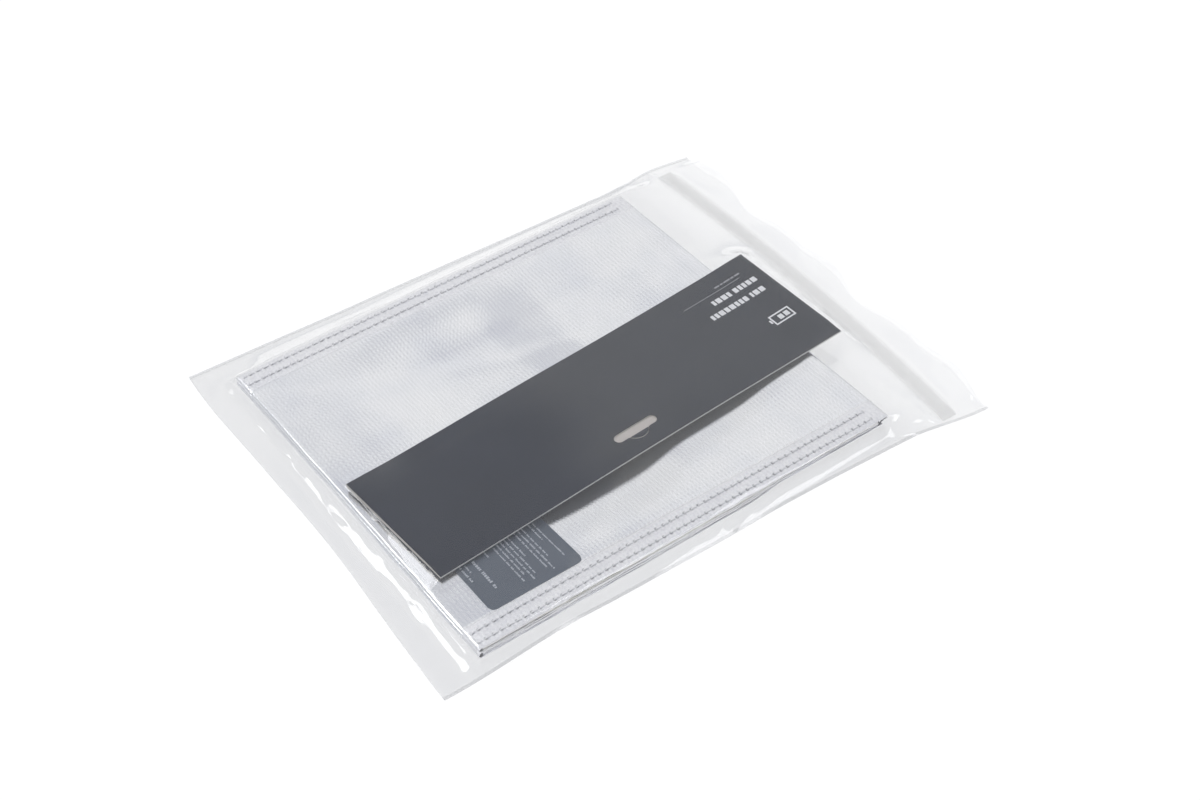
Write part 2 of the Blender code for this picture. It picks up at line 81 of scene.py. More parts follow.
BAG = ((-15.93, -1.30), math.radians(1.889))
BAG_L, BAG_W = 235.4, 213.7
BAG_HALF_W = BAG_W / 2
HINGE = next(j for j in frame["joints"] if j["name"] == "flap_hinge")
HINGE_Z = HINGE["pos_m"][2] / MM
HINGE_R = Z_FRONT - HINGE_Z
HINGE_ALONG = BAG_L / 2 - HINGE_R - 0.2
Z_FLAP = 2 * HINGE_Z - Z_FRONT              # the flap is tucked in under the mouth
FLAP_L, FLAP_W = 60.0, 208.0
FLAP_TIP = HINGE_ALONG - FLAP_L
Z_BACK, Z_BACK_LOW, STEP_ALONG, STEP_END = 3.8, 1.1, 32.0, 50
FOLD_ALONG, PLEAT = -116.2, 28.0            # closed end and depth of its pleat
Z_LEAF_TOP, Z_LEAF_LOW = 4.9, 4.2           # the two leaves of the pleat
LINING_GAP = 0.575                          # lining below the outer cloth
STITCH_ROWS = (3.0, 9.0)                    # rows of stitches, in from the bag's long sides
SEAM_W = 13.4
PITCH = 4.0                                 # of the side stitches
ROW_END = 108.5
LABEL_BOX = (-101.45, -51.95, -93.2, -43.2)  # along from, to, across from, to

CARD_FRAME = ((-4.06, -22.13), math.radians(5.323))
CARD_L, CARD_W, PAPER = 245.9, 73.5, 0.3
CARD_HALF_L, CARD_HALF_W = CARD_L / 2, CARD_W / 2
Z_CARD_BACK, Z_CARD_FRONT = 8.35, 8.95      # flat heights of the card's two leaves
Z_CARD_MID = (Z_CARD_FRONT + Z_CARD_BACK) / 2
SLOT_ALONG, SLOT_ACROSS = 1.0, -22.8        # hang slot and its half-moon
SLOT_L, SLOT_W, MOON_R, DIE_CUT = 25.0, 5.2, 6.5, 0.25

ZIP_X = 132.5
ZIP_HALF_W = 4.2
SEAL_EDGE = 128.3                           # flat place of the film's held end
SLACK_X, SLACK_Y = 1.006, 1.002             # film cut a little larger than its frame
FILM_T = 0.12
FILM_GRID = (189, 165)
LIP_STEPS = 17


# --- Small tools ---
def smooth(value):
    value = np.clip(value, 0.0, 1.0)
    return value * value * (3 - 2 * value)


def bell(value, centre, width):
    return np.exp(-((value - centre) / width) ** 2)


def noise(x, y, cell, seed):
    """Smooth lattice noise in -1..1, the same each run."""
    lattice = np.random.RandomState(seed).rand(64, 64) * 2 - 1
    grid_x, grid_y = np.asarray(x, float) / cell, np.asarray(y, float) / cell
    i, j = np.floor(grid_x).astype(int), np.floor(grid_y).astype(int)
    part_x, part_y = grid_x - i, grid_y - j
    part_x = part_x * part_x * (3 - 2 * part_x)
    part_y = part_y * part_y * (3 - 2 * part_y)
    low = lattice[i % 64, j % 64] * (1 - part_x) + lattice[(i + 1) % 64, j % 64] * part_x
    high = (lattice[i % 64, (j + 1) % 64] * (1 - part_x)
            + lattice[(i + 1) % 64, (j + 1) % 64] * part_x)
    return low * (1 - part_y) + high * part_y


def ripple(x, y, cell, seed):
    """Three octaves of the lattice noise."""
    total, weight = 0.0, 1.0
    for k in range(3):
        total = total + weight * noise(x, y, cell / 2 ** k, seed + 17 * k)
        weight *= 0.5
    return total / 1.75


def to_frame(place, along, across):
    """From a piece's own plan coordinates to the pack's x and y."""
    centre, turn = place
    return (centre[0] + along * math.cos(turn) - across * math.sin(turn),
            centre[1] + along * math.sin(turn) + across * math.cos(turn))


def to_local(place, x, y):
    centre, turn = place
    dx, dy = x - centre[0], y - centre[1]
    return (dx * math.cos(turn) + dy * math.sin(turn),
            -dx * math.sin(turn) + dy * math.cos(turn))


def placed_grid(place, along, across, z):
    x, y = to_frame(place, along, across)
    return np.stack([x, y, z], 2)


def rest_points(first, second, third=0.0):
    """Texture coordinates of the flat material, one per grid point."""
    return np.stack(np.broadcast_arrays(first, second, third), -1).reshape(-1, 3)


def twice(values):
    """The same values for both faces of a shell."""
    return np.concatenate([values, values])


def mesh_object(name, verts, faces, materials, index=None, rest=None, floats=None, sharp=None):
    """verts in millimetres; sharp is the smoothing angle in degrees, or None for flat faces."""
    mesh = bpy.data.meshes.new(name)
    mesh.from_pydata((np.asarray(verts, float) * MM).tolist(), [], faces)
    for material in materials:
        mesh.materials.append(material)
    if index is not None:
        mesh.polygons.foreach_set("material_index", np.asarray(index, np.int32))
    if rest is not None:
        layer = mesh.attributes.new("rest", "FLOAT_VECTOR", "POINT")
        layer.data.foreach_set("vector", np.asarray(rest, np.float32).ravel())
    for key, values in (floats or {}).items():
        layer = mesh.attributes.new(key, "FLOAT", "POINT")
        layer.data.foreach_set("value", np.asarray(values, np.float32).ravel())
    mesh.update()
    if sharp is not None:
        mesh.shade_smooth()
        mesh.set_sharp_from_angle(angle=math.radians(sharp))
    piece = bpy.data.objects.new(name, mesh)
    bpy.context.scene.collection.objects.link(piece)
    return piece


def shell(grid, thickness):
    """A closed sheet about the grid (rows, columns, 3): upper faces, lower faces, then edges."""
    rows, columns = grid.shape[:2]
    normal = np.cross(np.gradient(grid, axis=0), np.gradient(grid, axis=1))
    normal /= np.maximum(np.linalg.norm(normal, axis=2, keepdims=True), 1e-9)
    thickness = np.asarray(thickness, float)
    if thickness.ndim == 2:
        thickness = thickness[..., None]
    top, bottom = grid + normal * thickness / 2, grid - normal * thickness / 2
    verts = np.concatenate([top.reshape(-1, 3), bottom.reshape(-1, 3)])
    i, j = np.meshgrid(np.arange(rows - 1), np.arange(columns - 1), indexing="ij")
    corner = (i * columns + j).ravel()
    right, across, below = corner + 1, corner + columns + 1, corner + columns
    count = rows * columns
    upper = np.stack([corner, below, across, right], 1)
    lower = np.stack([corner, right, across, below], 1) + count
    ring = [(0, q) for q in range(columns)] + [(p, columns - 1) for p in range(1, rows)]
    ring += [(rows - 1, q) for q in range(columns - 2, -1, -1)]
    ring += [(p, 0) for p in range(rows - 2, 0, -1)]
    rim = np.array([p * columns + q for p, q in ring])
    after = np.roll(rim, -1)
    side = np.stack([rim, after, after + count, rim + count], 1)
    return verts, np.concatenate([upper, lower, side]).tolist()


def sheet(name, grid, thickness, material, rest, sharp, floats=None):
    """A shell as an object; rest and floats are given once per grid point."""
    verts, faces = shell(grid, thickness)
    floats = {key: twice(values.ravel()) for key, values in (floats or {}).items()}
    return mesh_object(name, verts, faces, [material], rest=twice(rest), floats=floats,
                       sharp=sharp)


def tube(path, radius, sides):
    """A round cord along path (n, 3) with a radius per point."""
    count = len(path)
    tangent = np.gradient(path, axis=0)
    tangent /= np.maximum(np.linalg.norm(tangent, axis=1, keepdims=True), 1e-9)
    side = np.cross(tangent, np.array([0, 0, 1.0]))
    side[np.linalg.norm(side, axis=1) < 0.15] = np.array([0, 1.0, 0])
    side /= np.linalg.norm(side, axis=1, keepdims=True)
    lift = np.cross(side, tangent)
    angle = np.arange(sides) * 2 * math.pi / sides
    ring = path[:, None, :] + radius[:, None, None] * (
        np.cos(angle)[None, :, None] * side[:, None, :]
        + np.sin(angle)[None, :, None] * lift[:, None, :])
    faces = []
    for i in range(count - 1):
        here, there = i * sides, (i + 1) * sides
        for q in range(sides):
            after = (q + 1) % sides
            faces.append((here + q, there + q, there + after, here + after))
    faces.append(tuple(range(sides)))
    faces.append(tuple(range((count - 1) * sides, count * sides))[::-1])
    steps = np.linalg.norm(np.diff(path, axis=0), axis=1)
    length = np.concatenate([[0], np.cumsum(steps)])
    rest = rest_points(np.repeat(length, sides), np.tile(angle, count))
    return ring.reshape(-1, 3), faces, rest


def join(parts):
    """Several (verts, faces) into one."""
    verts, faces, offset = [], [], 0
    for part_verts, part_faces in parts:
        verts.append(np.asarray(part_verts, float))
        faces += [tuple(q + offset for q in face) for face in part_faces]
        offset += len(part_verts)
    return np.concatenate(verts), faces


def recalc_normals(mesh, paint=None):
    """Turn the faces outward; paint(number, face) may then choose each face's material."""
    bm = bmesh.new()
    bm.from_mesh(mesh)
    bmesh.ops.recalc_face_normals(bm, faces=bm.faces)
    if paint:
        for number, face in enumerate(bm.faces):
            face.material_index = paint(number, face)
    bm.to_mesh(mesh)
    bm.free()


def register(piece, slot, *replaced, body=None):
    """Attach the piece to the body it moves with and hide the parts it stands in for; slot, its
    finish, is not used.
    """
    if body:
        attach(piece, body)
    if replaced:
        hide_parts(*replaced)


def blend_by(piece, weights):
    """Bake the piece's transform into its mesh; weights, one for each grid point, are not used.
    """
    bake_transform(piece)


# --- Node trees ---
def binary(operation):
    def apply(self, other):
        return self.graph.math(operation, self, other)
    return apply


def unary(operation):
    def apply(self):
        return self.graph.math(operation, self)
    return apply


class Value:
    """A node's output that takes arithmetic signs; each one adds a Math node."""
    __add__, __sub__, __mul__ = binary("ADD"), binary("SUBTRACT"), binary("MULTIPLY")
    __truediv__, __pow__ = binary("DIVIDE"), binary("POWER")
    __abs__, sine, root, fraction = map(unary, ("ABSOLUTE", "SINE", "SQRT", "FRACT"))

    def __init__(self, graph, socket):
        self.graph, self.socket = graph, socket

    def __rsub__(self, other):
        return self.graph.math("SUBTRACT", other, self)

    def scaled(self, factor, offset):
        return self.graph.math("MULTIPLY_ADD", self, factor, offset)

    def clamped(self):
        self.socket.node.use_clamp = True
        return self


class Graph:
    """Short hands for building the node tree of a material or a world."""

    def __init__(self, owner):
        owner.use_nodes = True
        self.owner, self.tree = owner, owner.node_tree

    def put(self, socket, value):
        if isinstance(value, Value):
            self.tree.links.new(value.socket, socket)
        elif socket.type == "RGBA" and len(value) == 3:
            socket.default_value = (*value, 1)
        else:
            socket.default_value = value

    def node(self, kind, inputs, output=0, **settings):
        made = self.tree.nodes.new("ShaderNode" + kind)
        for key, setting in settings.items():
            setattr(made, key, setting)
        for key, value in inputs.items():
            self.put(made.inputs[key], value)
        return Value(self, made.outputs[output])

    def math(self, operation, *values):
        return self.node("Math", dict(enumerate(values)), operation=operation)

    def attribute(self, name, output="Fac"):
        return self.node("Attribute", {}, output, attribute_name=name)

    def rest(self):
        return self.attribute("rest", "Vector")

    def scale(self, vector, factors):
        return self.node("VectorMath", {0: vector, 1: factors}, operation="MULTIPLY")

    def object_mm(self):
        """Object coordinates in millimetres."""
        return self.scale(self.node("TexCoord", {}, "Object"), (1000, 1000, 1000))

    def split(self, vector):
        parts = self.node("SeparateXYZ", {0: vector}).socket.node.outputs
        return [Value(self, part) for part in parts]

    def noise(self, vector, scale, detail=3.0, roughness=0.55, distortion=0.0):
        return self.node("TexNoise", {"Vector": vector, "Scale": scale, "Detail": detail,
                                      "Roughness": roughness, "Distortion": distortion}, "Fac")

    def waves(self, coordinate, pitch):
        return (coordinate * (2 * math.pi / pitch)).sine()

    def checks(self, vector, pitch):
        """A small square relief, as of a plain weave."""
        first, second, _ = self.split(vector)
        return self.waves(first, pitch) * self.waves(second, pitch)

    def ramp(self, factor, stops):
        made = self.node("ValToRGB", {0: factor})
        elements = made.socket.node.color_ramp.elements
        while len(elements) < len(stops):
            elements.new(1.0)
        for element, (position, colour) in zip(elements, stops):
            element.position = position
            element.color = (*colour, 1)
        return made

    def mix(self, factor, low, high):
        return self.node("Mix", {0: factor, 6: low, 7: high}, 2, data_type="RGBA")

    def bump(self, height, distance, strength=1.0):
        """distance in metres."""
        return self.node("Bump", {"Strength": strength, "Distance": distance, "Height": height})

    def surface(self, **inputs):
        """Set the Principled BSDF; underscores in the names stand for spaces."""
        for key, value in inputs.items():
            shader = self.tree.nodes["Principled BSDF"]
            self.put(shader.inputs[key.replace("_", " ")], value)
        return self.owner


def material_graph(name):
    return Graph(bpy.data.materials.new(name))


# --- Materials ---
def silver_cloth():
    graph = material_graph("silver_cloth")
    rest = graph.rest()
    along, across, _ = graph.split(rest)
    seam = graph.attribute("seam")
    # plain weave, each yarn rising over and dipping under, drawn coarser than the real cloth
    wobble = graph.noise(rest, scale=0.10, detail=2.0) * 1.6
    warp = graph.waves(along + wobble, pitch=2.1)
    weft = graph.waves(across + wobble, pitch=3.0)
    weave = (warp * weft).scaled(0.5, warp * 0.5)
    grain = graph.noise(rest, scale=1.9, detail=3.0, roughness=0.7)
    crumple = graph.noise(rest, scale=0.45, detail=4.0, roughness=0.65, distortion=0.6)
    broad = graph.noise(rest, scale=0.022, detail=2.0)
    cloth = weave + grain * 0.55
    pressed = crumple.scaled(9.0, grain * 5.6) * seam
    normal = graph.bump(cloth * 1.0 + pressed, distance=0.000020)

    # painted shade of the needle holes of the two rows at each side, and along the rows; the
    # holes are not cut in the cloth
    out = abs(across)
    to_rows = [abs(out - (BAG_HALF_W - row)) for row in STITCH_ROWS]
    row_gap = graph.math("MINIMUM", *to_rows)
    hole_gap = (abs((graph.attribute("along") / PITCH).fraction() - 0.5) - 0.5) * PITCH
    distance = (hole_gap * hole_gap + row_gap * row_gap).root()
    hole_r, hole_fade, row_shade_fade = 0.45, 0.75, 1.1
    # painted shade: near black at each needle hole
    hole_shade = (1.0 - ((distance - hole_r).clamped() / hole_fade).clamped()) * graph.attribute("rows")
    # painted shade along each row of stitches
    line = (1.0 - (row_gap / row_shade_fade).clamped()) * graph.attribute("rows")

    # colour: slow drift, fine specks, painted shade in the pressed seams' crumple hollows,
    # painted shade in the weave's dips, then painted shade along the rows and in the needle holes
    tone = graph.ramp(broad, [(0.28, (0.86, 0.875, 0.915)), (0.55, (0.96, 0.965, 0.975)),
                              (0.75, (1.0, 1.0, 1.0))])
    specks = graph.noise(rest, scale=0.9, detail=2.0, roughness=0.6)
    tone = graph.mix(specks * 0.10, tone, (0.50, 0.51, 0.57))
    # painted shade: the pressed seams darker in the hollows of their crumple
    seam_hollow_shade = graph.ramp(crumple, [(0.28, (0.74, 0.735, 0.77)), (0.5, (0.94, 0.935, 0.955)),
                                (0.75, (1.0, 1.0, 1.0))])
    tone = graph.mix(seam * 0.70, tone, seam_hollow_shade)
    # painted shade in the dips of the weave
    tone = graph.mix(weave.scaled(-0.6, 0.5).clamped() * 0.13, tone, (0.25, 0.26, 0.33))
    # painted shade along the rows
    tone = graph.mix(line * 0.03, tone, (0.55, 0.55, 0.60))
    # painted shade in the needle holes
    tone = graph.mix(hole_shade * 0.70, tone, (0.07, 0.07, 0.09))
    return graph.surface(Base_Color=tone, Metallic=0.88, Normal=normal, Sheen_Weight=0.15,
                         Roughness=grain.scaled(0.08, 0.105) + seam * 0.16)


def glass_cloth():
    graph = material_graph("glass_cloth")
    rest = graph.rest()
    weave = graph.checks(rest, pitch=1.1)
    grain = graph.noise(rest, scale=1.2)
    return graph.surface(Base_Color=graph.mix(grain, (0.70, 0.69, 0.63), (0.88, 0.87, 0.83)),
                         Roughness=0.78,
                         Normal=graph.bump(weave + grain, distance=0.00012, strength=0.9))


def cut_edge():
    """Crushed silver edges: bright flakes."""
    graph = material_graph("silver_cut_edge")
    flakes = graph.noise(graph.rest(), scale=1.3, detail=4.0, roughness=0.75, distortion=0.5)
    tone = graph.ramp(flakes, [(0.28, (0.62, 0.63, 0.68)), (0.45, (0.95, 0.95, 0.96)),
                               (0.8, (1.0, 1.0, 1.0))])
    return graph.surface(Base_Color=tone, Metallic=0.80, Roughness=0.34,
                         Normal=graph.bump(flakes, distance=0.00022))


def sewing_thread():
    graph = material_graph("sewing_thread")
    rest = graph.rest()
    length, angle, _ = graph.split(rest)
    twist = (length * 9.0 + angle * 2.0).sine()
    mottle = graph.noise(rest, scale=0.9, detail=2.0)
    tone = graph.mix(mottle, (0.86, 0.86, 0.89), (1.0, 1.0, 1.0))
    tone = graph.mix(twist.scaled(0.07, 0.07), tone, (0.45, 0.45, 0.50))
    return graph.surface(Base_Color=tone, Roughness=0.5, Sheen_Weight=0.4,
                         Normal=graph.bump(twist, distance=0.00004, strength=0.8))


def tape(name, low, high, hooks):
    graph = material_graph(name)
    rest = graph.rest()
    fine = graph.noise(rest, scale=1.1 if hooks else 2.6, detail=4.0, roughness=0.75)
    height = graph.checks(rest, pitch=1.5) * 1.4 + fine if hooks else fine
    return graph.surface(Base_Color=graph.mix(fine, low, high), Roughness=0.9,
                         Sheen_Weight=0.5, Normal=graph.bump(height, distance=0.00035))


def card_print():
    graph = material_graph("card_print")
    point = graph.object_mm()
    mottle = graph.noise(point, scale=0.035)
    slow = graph.noise(point, scale=0.06, detail=2.0, roughness=0.5)
    stretched = graph.scale(point, (0.06, 0.9, 0.3))
    scuffs = graph.noise(stretched, scale=1.0, detail=4.0, roughness=0.7) ** 6.0
    tone = graph.mix(mottle, (0.008, 0.012, 0.024), (0.018, 0.024, 0.042))
    tone = graph.mix(scuffs * 0.18, tone, (0.16, 0.17, 0.20))
    return graph.surface(Base_Color=tone, Roughness=mottle.scaled(0.16, 0.36),
                         Normal=graph.bump(slow, distance=0.00012), Specular_IOR_Level=0.14)


def paper(name, low, high):
    graph = material_graph(name)
    layered = graph.scale(graph.object_mm(), (1, 1, 6))
    fibres = graph.noise(layered, scale=3.0, roughness=0.7)
    return graph.surface(Base_Color=graph.mix(fibres, low, high), Roughness=0.85,
                         Normal=graph.bump(fibres, distance=0.00004, strength=0.6))


def label_print():
    graph = material_graph("label_print")
    point = graph.object_mm()
    mottle = graph.noise(point, scale=0.08, detail=2.0)
    fine = graph.noise(point, scale=2.0)
    height = graph.checks(point, pitch=1.25) * 0.5 + fine
    return graph.surface(Base_Color=graph.mix(mottle, (0.070, 0.090, 0.122),
                                              (0.098, 0.120, 0.155)),
                         Roughness=fine.scaled(0.2, 0.34),
                         Normal=graph.bump(height, distance=0.00003, strength=0.7))


def ink(name, low, high):
    graph = material_graph(name)
    grain = graph.noise(graph.object_mm(), scale=1.4)
    return graph.surface(Base_Color=graph.mix(grain, low, high), Roughness=0.5,
                         Normal=graph.bump(grain, distance=0.00001, strength=0.4))


def clear_film(name, through, haze, haze_colour, gloss_roughness, mirror, bump_distance,
               mouth_tone=None):
    """A thin clear wall: what is behind shows through, with a mirror that grows from its
    face-on share at grazing angles, and a little haze. mouth_tone is the tone at the mouth."""
    graph = material_graph(name)
    graph.tree.nodes.remove(graph.tree.nodes["Principled BSDF"])
    rest = graph.rest()
    fine = graph.noise(rest, scale=0.035, detail=1.0, roughness=0.4, distortion=0.5)
    stretched = graph.scale(rest, (0.012, 0.045, 0.1))
    drawn = graph.noise(stretched, scale=1.0, detail=1.5, roughness=0.5, distortion=0.6)
    normal = graph.bump(fine * 0.7 + drawn * 1.3, bump_distance, strength=0.75)
    facing = graph.node("LayerWeight", {"Blend": 0.5, "Normal": normal}, "Facing")
    reflect = (facing ** 4.0).scaled(1 - mirror, mirror).clamped()
    clear = graph.node("BsdfTransparent", {0: through})
    if mouth_tone:
        x, _, _ = graph.split(rest)
        start, width = 104.0, 24.0
        near = ((x - start) / width).clamped()
        graph.put(clear.socket.node.inputs[0], graph.mix(near, through, mouth_tone))
    gloss = graph.node("BsdfGlossy", {"Color": (1, 1, 1), "Roughness": gloss_roughness,
                                      "Normal": normal})
    milky = graph.node("BsdfDiffuse", {"Color": haze_colour})
    hazy = graph.node("MixShader", {0: fine.scaled(haze * 0.6, haze * 0.7), 1: clear, 2: milky})
    film = graph.node("MixShader", {0: reflect, 1: hazy, 2: gloss})
    graph.put(graph.tree.nodes["Material Output"].inputs["Surface"], film)
    return graph.owner


CLOTH = silver_cloth()
LINING = glass_cloth()
EDGE = cut_edge()
THREAD = sewing_thread()
HOOK = tape("hook_tape", (0.36, 0.37, 0.39), (0.60, 0.61, 0.63), hooks=True)
LOOP = tape("loop_tape", (0.42, 0.43, 0.45), (0.72, 0.73, 0.75), hooks=False)
CARD = card_print()
CORE = paper("paper_core", (0.66, 0.63, 0.58), (0.87, 0.85, 0.81))
INSIDE = paper("card_inside", (0.48, 0.44, 0.42), (0.62, 0.58, 0.55))
# the outside of the fold: a broken grey, paler than the print
PALE_FOLD = paper("card_pale_fold", (0.16, 0.17, 0.19), (0.80, 0.79, 0.77))
LABEL = label_print()
INK = ink("card_ink", (0.72, 0.73, 0.76), (0.92, 0.92, 0.93))
FAINT = ink("card_faint_ink", (0.22, 0.23, 0.26), (0.34, 0.35, 0.38))
LABEL_INK = ink("label_ink", (0.34, 0.37, 0.42), (0.60, 0.62, 0.66))
FILM = clear_film("sleeve_film", through=(0.947, 0.948, 0.951), haze=0.008,
                  haze_colour=(0.9, 0.91, 0.93), gloss_roughness=0.03, mirror=0.034,
                  bump_distance=0.00039, mouth_tone=(0.974, 0.975, 0.977))
WELD = clear_film("sleeve_weld", through=(0.965, 0.967, 0.97), haze=0.04,
                  haze_colour=(0.88, 0.89, 0.91), gloss_roughness=0.12, mirror=0.03,
                  bump_distance=0.00018)
SEAL = clear_film("press_seal", through=(1.0, 1.0, 1.0), haze=0.05,
                  haze_colour=(1.0, 1.0, 1.0), gloss_roughness=0.08, mirror=0.03,
                  bump_distance=0.00012)
CARD_MATERIALS = [CARD, INSIDE, CORE, PALE_FOLD]
PRINTED, BARE, CUT, PALE_FOLD_FACES = range(4)       # their slots


# --- Bag: sections, as (along, z) ---
def arc(along, z, radius, start, end, steps):
    angle = np.radians(np.linspace(start, end, steps + 1))
    return np.stack([along + radius * np.cos(angle), z + radius * np.sin(angle)], 1)


def running_length(line):
    return np.concatenate([[0], np.cumsum(np.linalg.norm(np.diff(line, axis=0), axis=1))])


def resample(points, step):
    line = np.array(points, float)
    length = running_length(line)
    count = max(2, int(round(length[-1] / step)) + 1)
    at = np.linspace(0, length[-1], count)
    return np.stack([np.interp(at, length, line[:, 0]), np.interp(at, length, line[:, 1])], 1)


def bag_section(inset, step, front_step, turn_steps, fold_steps, pleat_steps, tip_gap=0.0):
    """One sheet from the flap's tip, round the mouth, over the front, through the pleated
    closed end and along the back. Returns the points, the part each belongs to, the length."""
    def straight(start, end, spacing=step):
        return resample([start, end], spacing)

    pleat = FOLD_ALONG + PLEAT
    flap_z, front_z = Z_FLAP + inset, Z_FRONT - inset
    leaf_top, leaf_low = Z_LEAF_TOP + inset, Z_LEAF_LOW - inset
    back_low, back = Z_BACK_LOW + inset, Z_BACK + inset
    parts = [
        ("flap", straight((FLAP_TIP + tip_gap, flap_z), (HINGE_ALONG, flap_z))),
        ("turn", arc(HINGE_ALONG, HINGE_Z, HINGE_R - inset, -90, 90, turn_steps)),
        ("front", straight((HINGE_ALONG, front_z), (FOLD_ALONG, front_z), front_step)),
        ("gusset", arc(FOLD_ALONG, (Z_FRONT + Z_LEAF_TOP) / 2,
                       (Z_FRONT - Z_LEAF_TOP) / 2 - inset, 90, 270, fold_steps)),
        ("gusset", straight((FOLD_ALONG, leaf_top), (pleat, leaf_top))),
        ("gusset", arc(pleat, (Z_LEAF_TOP + Z_LEAF_LOW) / 2,
                       (Z_LEAF_TOP - Z_LEAF_LOW) / 2 + inset, 90, -90, pleat_steps)),
        ("gusset", straight((pleat, leaf_low), (FOLD_ALONG, leaf_low))),
        ("gusset", arc(FOLD_ALONG, (Z_LEAF_LOW + Z_BACK_LOW) / 2,
                       (Z_LEAF_LOW - Z_BACK_LOW) / 2 - inset, 90, 270, fold_steps)),
        ("back", resample([(FOLD_ALONG, back_low), (STEP_ALONG, back_low), (STEP_END, back),
                           (HINGE_ALONG - 1.2, back)], step)),
    ]
    line, kinds = [], []
    for name, points in parts:
        for point in points[(1 if line else 0):]:
            line.append(point)
            kinds.append(name)
    line = np.array(line)
    return line, np.array(kinds), running_length(line)


def flap_weights(line, kinds, columns):
    """0 on the body, 1 on the flap, growing round the turn at the mouth."""
    angle = np.degrees(np.arctan2(line[:, 0] - HINGE_ALONG, line[:, 1] - HINGE_Z))
    turn = np.where(kinds == "turn", np.clip(angle / 180.0, 0, 1), 0.0)
    return np.repeat(np.where(kinds == "flap", 1.0, turn), columns)


def back_z(along):
    return np.interp(along, [FOLD_ALONG, STEP_ALONG, STEP_END, HINGE_ALONG],
                     [Z_BACK_LOW, Z_BACK_LOW, Z_BACK, Z_BACK])


# --- Bag: relief of the front ---
def across_lines(half):
    """Positions across the bag, close together where the rows of stitches run."""
    side = half - np.arange(0, 15.01, 0.75)
    middle = np.arange(0, half - 15.5, 3.2)
    return np.unique(np.round(np.concatenate([side, middle, -side, -middle]), 4))


def seam_mask(across, half=BAG_HALF_W):
    return smooth((SEAM_W + 0.8 - (half - np.abs(across))) / 1.6)


def row_relief(along, across):
    """Puckers of the two stitched rows at each side, and the puffed cloth between them."""
    inward = BAG_HALF_W - np.abs(across)
    sewn = smooth((along + 117.0) / 3.0) * smooth((110.0 - along) / 4.0)
    phase = 2 * math.pi * (along - ROW_END) / PITCH
    z = 0.0
    for row in STITCH_ROWS:
        z = z - bell(inward, row, 0.85) * (0.03 + 0.13 * np.maximum(np.cos(phase), 0) ** 2) * sewn
        z = z + (bell(inward, row, 2.2) * 0.05
                 * np.sin(phase * 0.5 + 1.3 * np.sign(across)) * sewn)
    z = z + bell(inward, 6.0, 1.7) * 0.16 * sewn
    z = z + bell(inward, 11.4, 1.5) * 0.10
    return z - smooth((1.6 - inward) / 1.6) * 0.35


def sag(along, across):
    """The empty pocket sinks between the thick seams and the folded ends."""
    pocket = (smooth((BAG_HALF_W - SEAM_W - np.abs(across)) / 38.0)
              * smooth((along + 88) / 60.0) * smooth((106 - along) / 46.0))
    depth = 1.3 + 2.1 * smooth((34 - along) / 36.0)
    return -depth * pocket * (1 + 0.15 * np.sin(along / 37.0 + across / 52.0 + 0.7))


def front_relief(along, across):
    """Height of the front cloth above its plane."""
    label_gap = np.maximum(np.maximum(LABEL_BOX[0] - along, along - LABEL_BOX[1]),
                           np.maximum(LABEL_BOX[2] - across, across - LABEL_BOX[3]))
    calm = smooth((label_gap + 1) / 8)
    z = 0.22 * ripple(along, across, 55, 5) + 0.10 * ripple(along, across, 17, 9)
    # one slanting ridge and one slanting hollow
    ridge = along * 0.35 + across - 40 + 6 * ripple(along, across, 60, 3)
    z = z + 0.16 * bell(ridge, 0, 4.5) * smooth((along + 110) / 50) * smooth((70 - along) / 50)
    z = z - 0.12 * bell(along - 0.9 * across, 60, 5.0) * smooth((across - 5) / 40)
    inside = smooth((BAG_HALF_W - SEAM_W + 3 - np.abs(across)) / 8 + 0.25)
    z = z * (0.25 + 0.75 * calm) * inside
    z = z + row_relief(along, across)
    z = z - 0.25 * smooth((-106 - along) / 10) + 0.25 * smooth((along - 104) / 8)
    return z + sag(along, across)


def front_top(along, across):
    return Z_FRONT_TOP + front_relief(along, across)


